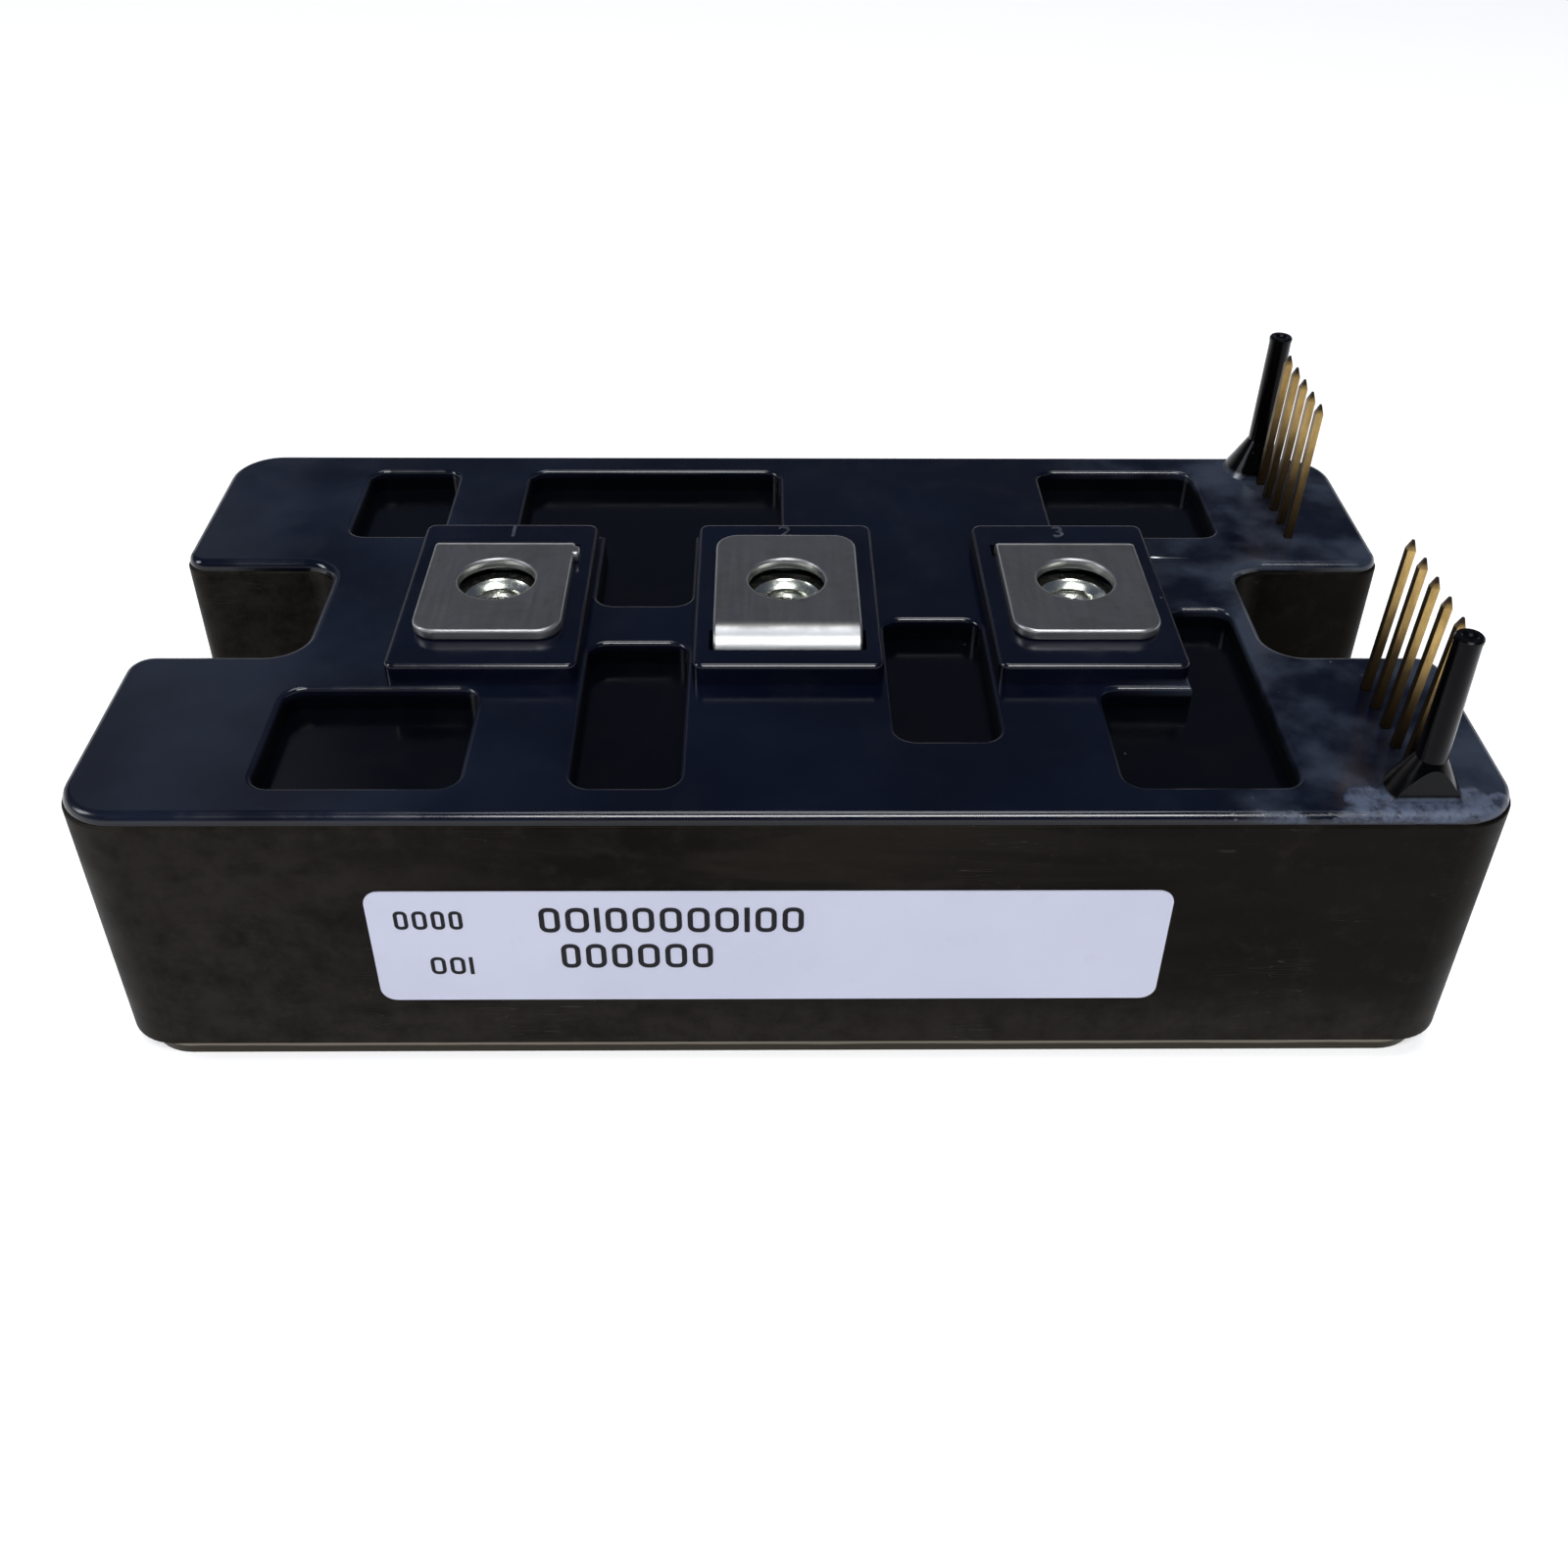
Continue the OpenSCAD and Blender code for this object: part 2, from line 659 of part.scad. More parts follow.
// Folded strip: free end at -free, outer face of the leg at +fold, foot_s is the
// side that the soldered foot points to
module strip(free, fold, bend_r, foot_l, foot_s) {
    flat_end = fold - bend_r;
    leg_top = top_z + strip_t - bend_r;
    leg_end = chip_z + foot_bend_r;
    leg_y = fold - strip_t;
    foot_pivot_y = foot_s > 0 ? leg_y + foot_bend_r : fold - foot_bend_r;
    difference() {
        translate([-strip_w / 2, -free, top_z]) cube([strip_w, free + flat_end, strip_t]);
        translate([0, 0, top_z - through]) cylinder(r = strip_hole_r, h = strip_t + 2 * through);
        for (s = [0, 1]) mirror([s, 0, 0])
            translate([strip_w / 2 - strip_corner_r, -free + strip_corner_r, top_z])
                mirror([0, 1, 0]) corner_cutter(strip_corner_r);
    }
    translate([0, flat_end, leg_top]) quarter_bend(bend_r, strip_w);
    translate([-strip_w / 2, leg_y, leg_end]) cube([strip_w, strip_t, leg_top - leg_end]);
    translate([0, foot_pivot_y, leg_end]) mirror([0, foot_s > 0 ? 1 : 0, 0]) mirror([0, 0, 1])
        quarter_bend(foot_bend_r, strip_w);
    translate([-strip_w / 2, foot_s > 0 ? foot_pivot_y : foot_pivot_y - foot_l, chip_z])
        cube([strip_w, foot_l, strip_t]);
}

module terminal_left() {
    nub_y = outer_fold_y - outer_fold_r;
    color("#a3a09c") translate([-terminal_pitch, 0, 0]) {
        strip(outer_free_y, outer_fold_y, outer_fold_r, outer_foot_l, 1);
        // stub of the tie bar that held the strip when it was stamped
        translate([strip_w / 2, nub_y - tie_nub_l, top_z]) cube([tie_nub_w, tie_nub_l, strip_t]);
    }
}

module terminal_middle() {
    color("#a3a09c") mirror([0, 1, 0])
        strip(middle_free_y, middle_fold_y, middle_fold_r, middle_foot_l, -1);
}

module terminal_right() {
    color("#a3a09c") translate([terminal_pitch, 0, 0]) difference() {
        strip(outer_free_y, outer_fold_y, outer_fold_r, outer_foot_l, 1);
        translate([strip_w / 2 - fold_corner_r, outer_fold_y - fold_corner_r, top_z - strip_t])
            difference() {
                cube([fold_corner_r + through, fold_corner_r + through, 3 * strip_t]);
                cylinder(r = fold_corner_r, h = 3 * strip_t);
            }
    }
}

// Hexagon nut with chamfered corners and countersunk bore
module nut(i) {
    color("#c6c8bf") translate([i * terminal_pitch, 0, nut_z]) difference() {
        intersection() {
            cylinder(r = nut_corner_r, h = nut_h, $fn = 6);
            rotate_extrude() polygon([
                [0, 0],
                [nut_face_r, 0],
                [nut_corner_r + nut_gap, nut_chamfer_h],
                [nut_corner_r + nut_gap, nut_h - nut_chamfer_h],
                [nut_face_r, nut_h],
                [0, nut_h]
            ]);
        }
        translate([0, 0, -through]) cylinder(r = nut_bore_r, h = nut_h + 2 * through);
        cylinder(r1 = nut_sink_r, r2 = nut_bore_r, h = nut_sink_h);
        translate([0, 0, nut_h - nut_sink_h]) cylinder(r1 = nut_bore_r, r2 = nut_sink_r, h = nut_sink_h);
    }
}

// ---------- control pins ----------

// Square pin with a chamfered tip, standing on Z = 0
module tipped_pin(h) {
    tip = pin_a / 4;
    outline = [
        [-pin_a / 2, 0],
        [pin_a / 2, 0],
        [pin_a / 2, h - pin_tip_h],
        [tip / 2, h],
        [-tip / 2, h],
        [-pin_a / 2, h - pin_tip_h]
    ];
    intersection() {
        rotate([90, 0, 0]) translate([0, 0, -pin_a / 2]) linear_extrude(pin_a) polygon(outline);
        rotate([90, 0, 90]) translate([0, 0, -pin_a / 2]) linear_extrude(pin_a) polygon(outline);
    }
}

// Pins 1 to 5 stand in the front row, 6 to 10 in the back row, both from the
// centre line outwards
module control_pin(i) {
    row = i > pins_per_row ? 1 : -1;
    k = (i - 1) % pins_per_row;
    start_z = board_z - pin_tail;
    color("#b9965a") translate([pin_x, pin_y(row, k), 0]) {
        translate([-pin_a / 2, -pin_a / 2, start_z])
            cube([pin_a, pin_a, body_h + pin_a / 4 - start_z]);
        translate([0, 0, body_h]) rotate([inward_lean(row, k) * row, row_lean(row), 0])
            tipped_pin(pin_h);
    }
}

// ---------- substrates ----------

// Places its children on the left tile (s = -1) or the right tile (s = 1)
module on_tile(s) {
    translate([s * tile_x, 0, 0]) children();
}

module span(x0, x1, y0, y1, z, h) {
    translate([x0, y0, z]) cube([x1 - x0, y1 - y0, h]);
}

module ceramic(s) {
    color("#e9e6df") on_tile(s) span(-tile_l / 2, tile_l / 2, -tile_w / 2, tile_w / 2, tile_z, tile_t);
}

module back_foil(s) {
    color("#b87b4b") on_tile(s) span(-copper_x, copper_x, -copper_y, copper_y, plate_t, foil_t);
}

// Copper under the chips, less the islands of the gate pads
module collector_track(s) {
    difference() {
        union() {
            span(-copper_x, collector_edge_x, -copper_y, s < 0 ? copper_y : arm_split_y, track_z, foil_t);
            if (s > 0) span(-copper_x, arm_split_x, -copper_y, copper_y, track_z, foil_t);
        }
        for (y = gate_y)
            span(gate_pad_x - gate_pad_l / 2 - track_gap / 2, gate_pad_x + gate_pad_l / 2 + track_gap / 2,
                 y - gate_pad_w / 2 - track_gap / 2, y + gate_pad_w / 2 + track_gap / 2,
                 track_z - through, foil_t + 2 * through);
    }
}

module emitter_track(s) {
    span(emitter_edge_x, copper_x, -copper_y, copper_y, track_z, foil_t);
    if (s > 0) span(arm_split_x + track_gap, copper_x, arm_split_y + track_gap, copper_y, track_z, foil_t);
}

module tracks(s) {
    color("#c08552") on_tile(s) {
        collector_track(s);
        emitter_track(s);
        for (y = gate_y)
            span(gate_pad_x - gate_pad_l / 2, gate_pad_x + gate_pad_l / 2,
                 y - gate_pad_w / 2, y + gate_pad_w / 2, track_z, foil_t);
    }
}

// ---------- chips and wires ----------

// Chips 1 and 2 are on the left tile, 3 and 4 on the right tile
function chip_side(i) = i > 2 ? 1 : -1;
function chip_y(i) = row_y[(i - 1) % 2];

module chip(i, x, a) {
    on_tile(chip_side(i)) span(x - a / 2, x + a / 2, chip_y(i) - a / 2, chip_y(i) + a / 2, chip_z, chip_t);
}

module igbt_chip(i) {
    color("#5d6470") chip(i, igbt_x, igbt_a);
}

module diode_chip(i) {
    color("#6b7078") chip(i, diode_x, diode_a);
}

// Wire loop along X from 0 to chord, its ends cut off inside the bonds. The tunnel
// that holds it in the gel is square in section.
module wire_arc(chord, rise, d, tunnel) {
    r = (chord * chord / 4 + rise * rise) / (2 * rise);
    translate([chord / 2, 0, rise - r]) rotate([90, 0, 0]) intersection() {
        rotate_extrude($fn = 64) translate([r, 0]) {
            if (tunnel) square(d, center = true);
            else circle(d / 2);
        }
        translate([-r - d, r - rise + bond_h / 2, -d]) cube([2 * (r + d), rise + d, 2 * d]);
    }
}

// Flat bond that ends a wire, with its middle at X = 0
module bond(l, w, z0, h) {
    translate([-l / 2, -w / 2, z0]) cube([l, w, h]);
}

// Wires of one chip pair: switch to diode to emitter track, and the gate wire.
// grow widens them all round, for the tunnels that hold them.
module pair_wires(y, gate_at, grow) {
    tunnel = grow > 0;
    d = wire_d + 2 * grow;
    w = bond_w + 2 * grow;
    l = bond_l + 2 * grow;
    h = bond_h + grow;
    first = -(wires_per_chip - 1) / 2 * wire_pitch;
    for (k = [0 : wires_per_chip - 1]) translate([0, y + first + k * wire_pitch, wire_z]) {
        translate([igbt_x, 0, 0]) {
            wire_arc(diode_x - igbt_x, loop_rise, d, tunnel);
            bond(l, w, 0, h);
        }
        translate([diode_x, 0, 0]) {
            wire_arc(landing_x - diode_x, loop_rise, d, tunnel);
            bond(l, w, 0, h);
        }
        translate([landing_x, 0, 0]) bond(l, w, -chip_t, h + chip_t);
    }
    reach = igbt_a / 2 - gate_bond_in;
    from = y + (gate_at > y ? reach : -reach);
    span_l = abs(gate_at - from);
    translate([gate_wire_x, from, wire_z]) rotate([0, 0, gate_at > y ? 90 : -90]) {
        wire_arc(span_l, gate_loop_rise * span_l, d, tunnel);
        bond(l, w, 0, h);
        translate([span_l, 0, 0]) bond(l, w, -chip_t, h + chip_t);
    }
}

module wires(s, grow = 0) {
    on_tile(s) for (k = [0, 1]) pair_wires(row_y[k], gate_y[k], grow);
}

// Places of the gate and sense pins on one tile
link_places = [
    [gate_pin_x, gate_y[0]],
    [gate_pin_x, gate_y[1]],
    [sense_x, sense_y],
    [-sense_x, sense_y]
];

module links(s, grow, z1) {
    for (p = link_places) on_tile(s)
        translate([p[0] - link_a / 2 - grow, p[1] - link_a / 2 - grow, chip_z])
            cube([link_a + 2 * grow, link_a + 2 * grow, z1 - chip_z]);
}

module bond_wires(s) {
    color("#c9ccd0") wires(s);
}

module link_pins(s) {
    color("#b9b3a2") links(s, 0, board_top_z + link_tail);
}

// ---------- control board ----------

// Window in the board round a terminal's leg
module leg_window(fold) {
    translate([0, fold - strip_t / 2, board_z + board_t / 2])
        cube([strip_w + 2 * window_gap, strip_t + 2 * window_gap, board_t + 2 * through],
             center = true);
}

module control_board() {
    color("#2f6b46") difference() {
        intersection() {
            translate([0, 0, board_z]) cavity_block(board_t, board_gap);
            translate([board_start_x, -body_w, board_z]) cube([body_l, 2 * body_w, board_t]);
        }
        for (s = sides) translate([s * terminal_pitch, 0, 0]) leg_window(outer_fold_y);
        mirror([0, 1, 0]) leg_window(middle_fold_y);
        for (s = sides) links(s, pin_gap, board_top_z + through);
        for (row = sides, k = [0 : pins_per_row - 1])
            translate([pin_x, pin_y(row, k), board_z + board_t / 2])
                cube([pin_a + 2 * pin_gap, pin_a + 2 * pin_gap, board_t + 2 * through], center = true);
    }
}

// Gull-wing lead, in from the body's side at Y = 0
module lead() {
    rise = driver_h / 2;
    translate([-lead_w / 2, 0, 0]) {
        translate([0, -lead_t, rise]) cube([lead_w, lead_reach / 2 + lead_t, lead_t]);
        translate([0, lead_reach / 2 - lead_t, 0]) cube([lead_w, lead_t, rise + lead_t]);
        translate([0, lead_reach / 2 - lead_t, 0]) cube([lead_w, lead_reach / 2 + lead_t, lead_t]);
    }
}

module driver_ic(s) {
    pitch = driver_l / driver_leads;
    color("#22242a") translate([s * driver_x, driver_y, board_top_z]) {
        translate([-driver_l / 2, -driver_w / 2, lead_t / 2])
            cube([driver_l, driver_w, driver_h - lead_t / 2]);
        for (m = [0, 1]) mirror([0, m, 0]) for (k = [0 : driver_leads - 1])
            translate([(k - (driver_leads - 1) / 2) * pitch, driver_w / 2, 0]) lead();
    }
}

module capacitor(s) {
    color("#caa24a") translate([s * cap_x, cap_y, board_top_z])
        rounded_block(cap_l, cap_w, cap_h, cap_r);
}

// ---------- potting ----------

// Gel poured round the chips, wires, legs and pins up to its flat surface
module silicone_gel() {
    color("#b9c4c9") difference() {
        translate([0, 0, plate_t]) cavity_block(gel_z - plate_t, ledge_w);
        for (s = sides) {
            back_foil(s);
            ceramic(s);
            tracks(s);
            wires(s, tunnel_gap);
            links(s, 0, gel_z + through);
        }
        for (i = [1 : 4]) {
            igbt_chip(i);
            diode_chip(i);
        }
        terminal_left();
        terminal_middle();
        terminal_right();
    }
}

base_plate();
case_frame();
lid();
rating_label();
terminal_left();
terminal_middle();
terminal_right();
nut(-1);  // nut_left
nut(0);  // nut_middle
nut(1);  // nut_right
for (i = [1 : 2 * pins_per_row])
    control_pin(i);
ceramic(-1);  // ceramic_left
ceramic(1);  // ceramic_right
back_foil(-1);  // back_foil_left
back_foil(1);  // back_foil_right
tracks(-1);  // tracks_left
tracks(1);  // tracks_right
for (i = [1 : 4])
    igbt_chip(i);
for (i = [1 : 4])
    diode_chip(i);
bond_wires(-1);  // bond_wires_left
bond_wires(1);  // bond_wires_right
link_pins(-1);  // link_pins_left
link_pins(1);  // link_pins_right
control_board();
driver_ic(-1);  // driver_ic_left
driver_ic(1);  // driver_ic_right
capacitor(-1);  // capacitor_left
capacitor(1);  // capacitor_right
silicone_gel();
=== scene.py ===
"""Looks of a dual-switch power module: materials, small details, light and camera.

Metres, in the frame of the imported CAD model: origin at the centre of the underside,
+X towards the control pins, -Y towards the label, +Z up.
"""

import json
import math

import bmesh
import bpy
from mathutils import Matrix, Vector

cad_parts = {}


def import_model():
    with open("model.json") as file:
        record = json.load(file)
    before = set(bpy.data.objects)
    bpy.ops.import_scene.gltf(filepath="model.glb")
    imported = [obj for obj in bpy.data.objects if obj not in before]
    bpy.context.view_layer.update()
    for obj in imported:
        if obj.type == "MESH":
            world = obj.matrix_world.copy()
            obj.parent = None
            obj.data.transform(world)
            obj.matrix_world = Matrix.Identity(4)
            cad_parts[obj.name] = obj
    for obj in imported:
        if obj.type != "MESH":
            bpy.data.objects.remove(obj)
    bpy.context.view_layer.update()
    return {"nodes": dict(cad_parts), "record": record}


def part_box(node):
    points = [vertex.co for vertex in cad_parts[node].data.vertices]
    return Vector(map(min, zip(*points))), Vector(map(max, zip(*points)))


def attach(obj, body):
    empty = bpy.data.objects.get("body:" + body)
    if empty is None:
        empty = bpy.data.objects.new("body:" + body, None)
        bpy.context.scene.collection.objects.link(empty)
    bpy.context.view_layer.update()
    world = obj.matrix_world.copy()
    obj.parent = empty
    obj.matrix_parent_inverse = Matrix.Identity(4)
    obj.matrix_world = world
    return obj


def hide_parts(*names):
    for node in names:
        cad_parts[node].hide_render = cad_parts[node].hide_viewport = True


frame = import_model()
NODES = frame["nodes"]

MM = 0.001
SIDES = ("left", "middle", "right")

# Heights that come from the CAD model
LID_ABOVE_CASE = 0.9 * MM
STRIP_ABOVE_PLATFORM = 1 * MM
LID_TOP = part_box("case_frame")[1].z + LID_ABOVE_CASE
PLATFORM_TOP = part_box("terminal_left")[1].z - STRIP_ABOVE_PLATFORM


# ---------------------------------------------------------------- shader graphs

class Value:
    """A socket of a shader graph that takes plain arithmetic."""

    def __init__(self, graph, socket):
        self.graph = graph
        self.socket = socket

    def __add__(self, other):
        return self.graph.math("ADD", self, other)

    def __sub__(self, other):
        return self.graph.math("SUBTRACT", self, other)

    def __mul__(self, other):
        return self.graph.math("MULTIPLY", self, other)

    def __truediv__(self, other):
        return self.graph.math("DIVIDE", self, other)

    def __abs__(self):
        return self.graph.math("ABSOLUTE", self)

    def above(self, limit):
        """1 where the value passes the limit and 0 elsewhere."""
        return self.graph.math("GREATER_THAN", self, limit)

    def largest(self, other):
        return self.graph.math("MAXIMUM", self, other)

    def inverse(self):
        return self.graph.math("SUBTRACT", 1.0, self)

    def rise(self, start, end):
        """0 at start, 1 at end, smooth between; start may be the larger one."""
        node = self.graph.new("ShaderNodeMapRange", interpolation_type="SMOOTHSTEP")
        self.graph.link(self, node.inputs["Value"])
        node.inputs["From Min"].default_value = start
        node.inputs["From Max"].default_value = end
        return Value(self.graph, node.outputs["Result"])

    def spread(self, low, high):
        """A value of 0 to 1 stretched to low to high."""
        node = self.graph.new("ShaderNodeMapRange")
        self.graph.link(self, node.inputs["Value"])
        node.inputs["To Min"].default_value = low
        node.inputs["To Max"].default_value = high
        return Value(self.graph, node.outputs["Result"])


class Graph:
    """The node tree of one material, in the object's own coordinates."""

    def __init__(self, name):
        self.material = bpy.data.materials.new(name)
        self.material.use_nodes = True
        self.tree = self.material.node_tree
        self.shader = self.tree.nodes["Principled BSDF"]
        self.place = self.new("ShaderNodeTexCoord").outputs["Object"]
        axes = self.new("ShaderNodeSeparateXYZ")
        self.tree.links.new(self.place, axes.inputs[0])
        self.x, self.y, self.z = (Value(self, axes.outputs[k]) for k in "XYZ")

    def new(self, kind, **settings):
        node = self.tree.nodes.new(kind)
        for key, value in settings.items():
            setattr(node, key, value)
        return node

    def link(self, value, socket):
        if isinstance(value, Value):
            self.tree.links.new(value.socket, socket)
        else:
            socket.default_value = value

    def math(self, operation, a, b=None):
        node = self.new("ShaderNodeMath", operation=operation)
        self.link(a, node.inputs[0])
        if b is not None:
            self.link(b, node.inputs[1])
        return Value(self, node.outputs[0])

    def scaled_place(self, stretch, shift=0.0):
        """The object's coordinates, scaled by axis and moved to another stretch of noise."""
        node = self.new("ShaderNodeMapping")
        self.tree.links.new(self.place, node.inputs["Vector"])
        node.inputs["Scale"].default_value = stretch
        node.inputs["Location"].default_value = (shift, shift * 0.7, shift * 1.3)
        return node.outputs[0]

    def noise(self, size, detail=3.0, stretch=(1, 1, 1), shift=0.0, rough=0.5, twist=0.0):
        """Noise of 0 to 1 whose features are about size metres across."""
        node = self.new("ShaderNodeTexNoise")
        self.tree.links.new(self.scaled_place(stretch, shift), node.inputs["Vector"])
        node.inputs["Scale"].default_value = 1 / size
        node.inputs["Detail"].default_value = detail
        node.inputs["Roughness"].default_value = rough
        node.inputs["Distortion"].default_value = twist
        return Value(self, node.outputs[0])

    def normal(self, axis):
        """One axis of the surface's normal."""
        axes = self.new("ShaderNodeSeparateXYZ")
        self.tree.links.new(self.new("ShaderNodeNewGeometry").outputs["Normal"], axes.inputs[0])
        return Value(self, axes.outputs[axis])

    def tilt(self):
        """1 where the surface lies flat and 0 where it stands upright."""
        return abs(self.normal("Z"))

    def wavy(self, size, reach):
        """X and Y pushed about by up to reach metres, for ragged outlines."""
        push_x = self.noise(size, detail=3, shift=11.0) - 0.5
        push_y = self.noise(size, detail=3, shift=17.0) - 0.5
        return self.x + push_x * (2 * reach), self.y + push_y * (2 * reach)

    def cells(self, size):
        """Distance to the nearest of scattered points about size metres apart."""
        node = self.new("ShaderNodeTexVoronoi", feature="F1")
        self.tree.links.new(self.scaled_place((1, 1, 1)), node.inputs["Vector"])
        node.inputs["Scale"].default_value = 1 / size
        return Value(self, node.outputs["Distance"])

    def mix(self, amount, a, b):
        """Colour a where amount is 0 and b where it is 1."""
        node = self.new("ShaderNodeMix", data_type="RGBA")
        self.link(amount, node.inputs["Factor"])
        for value, socket in ((a, node.inputs[6]), (b, node.inputs[7])):
            self.link((*value, 1.0) if isinstance(value, tuple) else value, socket)
        return Value(self, node.outputs[2])

    def bump(self, height, depth):
        """Adds a bump of that depth in metres on top of the last one."""
        node = self.new("ShaderNodeBump")
        node.inputs["Strength"].default_value = 1.0
        node.inputs["Distance"].default_value = depth
        self.link(height, node.inputs["Height"])
        normal = self.shader.inputs["Normal"]
        if normal.is_linked:
            self.tree.links.new(normal.links[0].from_socket, node.inputs["Normal"])
        self.tree.links.new(node.outputs[0], normal)

    def finish(self, color, roughness, **uniform):
        """Links colour and roughness and sets the values that are the same all over."""
        if not isinstance(color, Value):
            color = (*color, 1.0)
        self.link(color, self.shader.inputs["Base Color"])
        self.link(roughness, self.shader.inputs["Roughness"])
        for name, value in uniform.items():
            self.shader.inputs[name.replace("_", " ")].default_value = value
        return self.material


def ellipse(graph, place, centre, radii, soft=0.4):
    """1 inside an upright elliptic cylinder and 0 outside, soft over that share."""
    u = (place[0] - centre[0] * MM) / (radii[0] * MM)
    v = (place[1] - centre[1] * MM) / (radii[1] * MM)
    return graph.math("SQRT", u * u + v * v).rise(1.0 + soft / 2, 1.0 - soft / 2)


# ---------------------------------------------------------------- materials

# Dried residue on the lid by the front post: centres and radii in millimetres
RESIDUE_LOBES = (
    ((41.8, -26.0), (1.7, 1.4)),
    ((45.6, -27.2), (5.4, 0.9)),
    ((49.4, -26.1), (1.2, 1.6)),
)
RESIDUE_RING = ((51.1, -26.2), (1.0, 0.9))
RESIDUE_RING_HOLE = (RESIDUE_RING[0], (0.6, 0.45))


def residue(g, flat_top):
    """Cover of the pale residue, from 0 to 1."""
    place = g.wavy(1.3 * MM, 0.7 * MM)
    cover = None
    for centre, radii in RESIDUE_LOBES:
        lobe = ellipse(g, place, centre, radii)
        cover = lobe if cover is None else cover.largest(lobe)
    ring = ellipse(g, place, *RESIDUE_RING) - ellipse(g, place, *RESIDUE_RING_HOLE) * 0.6
    streaks = g.noise(1.6 * MM, detail=5, stretch=(0.35, 1, 1), shift=5.0, rough=0.6)
    edge = place[1].rise(-27.1 * MM, -27.6 * MM) * g.x.rise(28 * MM, 36 * MM)
    edge = edge * streaks.rise(0.44, 0.60)
    grain = g.noise(0.9 * MM, detail=6, shift=8.0, rough=0.7).rise(0.36, 0.60).spread(0.30, 1.0)
    return cover.largest(ring).largest(edge * 0.7) * flat_top * grain


BEYOND_PLATFORMS = 35 * MM


def lid_plastic():
    """Dark blue resin: painted shade in the pockets and on the posts, dust at the right end, a
    painted reflection that lightens the left end, and dried residue.
    """
    g = Graph("lid_plastic")
    blotch = g.noise(14 * MM, detail=4)
    smudge = g.noise(5 * MM, detail=5, shift=3.0, rough=0.6, twist=0.6)
    navy = g.mix(blotch.rise(0.35, 0.7), (0.0010, 0.0019, 0.0070), (0.0022, 0.0037, 0.0115))

    # painted shade: the pockets are darkened below the lid's top
    painted_pocket_shade = g.z.rise(LID_TOP - 0.2 * MM, LID_TOP - LID_ABOVE_CASE)
    color = g.mix(painted_pocket_shade, navy, (0.0010, 0.0013, 0.0025))
    # painted shade: the posts are darker than the lid's resin
    post = g.z.rise(LID_TOP + 0.25 * MM, LID_TOP + 0.6 * MM) * g.x.above(BEYOND_PLATFORMS)
    color = g.mix(post, color, (0.0010, 0.0010, 0.0011))

    # dust and dried drops lie on the top only, the dust thickest at the right end; a painted
    # reflection lightens the left end
    on_top = g.z.rise(LID_TOP - LID_ABOVE_CASE, LID_TOP - 0.6 * MM)
    on_top = on_top * g.z.rise(LID_TOP + 0.6 * MM, LID_TOP + 0.2 * MM)
    haze = g.noise(7 * MM, detail=5, shift=1.0).rise(0.38, 0.66) * g.x.rise(24 * MM, 38 * MM)
    color = g.mix(haze * on_top * 0.60, color, (0.050, 0.062, 0.090))
    # painted reflection: the left end of the top lighter and bluer
    painted_reflection_left_end = g.x.rise(-8 * MM, -46 * MM) * blotch.rise(0.2, 0.8)
    color = g.mix(painted_reflection_left_end * on_top * 0.40, color, (0.022, 0.029, 0.052))
    dried = residue(g, on_top)
    color = g.mix(dried * 0.85, color, (0.078, 0.100, 0.160))

    # pale specks, only towards the control pins
    speck = g.cells(1.9 * MM).rise(0.075, 0.045) * g.noise(7 * MM, shift=9.0).rise(0.52, 0.62)
    color = g.mix(speck * g.x.rise(0.0, 30 * MM) * 0.5, color, (0.10, 0.11, 0.13))

    # painted shade on reflections: edges keep their full shine only where they face the label's
    # side, and pockets and posts reflect less
    edge = g.tilt().rise(0.975, 0.80)
    faces_front = (g.normal("Y") * -1.0).rise(0.10, 0.35)
    turned = edge * faces_front.inverse()
    dull = post.largest(painted_pocket_shade * 0.6).largest(turned * 0.85)
    shine = g.mix(dull, (1.0, 1.0, 1.0), (0.14, 0.14, 0.15))
    g.link(shine, g.shader.inputs["Specular Tint"])
    rough = smudge.rise(0.35, 0.72).spread(0.13, 0.25)
    rough = rough + dried * 0.40 + turned * post.inverse() * 0.35
    g.bump(g.noise(0.35 * MM, detail=2), 0.0015 * MM)
    g.bump(dried, 0.04 * MM)
    return g.finish(color, rough, Specular_IOR_Level=0.5)


def number_plastic():
    """The lid's resin on raised numbers, lighter with dust and with a painted highlight."""
    g = Graph("number_plastic")
    dust = g.noise(0.5 * MM, detail=5, rough=0.65)
    # dust with a painted highlight: the numbers lighter than the lid's resin
    color = g.mix(dust.rise(0.38, 0.66), (0.012, 0.016, 0.026), (0.055, 0.064, 0.085))
    g.bump(dust, 0.02 * MM)
    return g.finish(color, dust.spread(0.35, 0.6), Specular_IOR_Level=0.4)


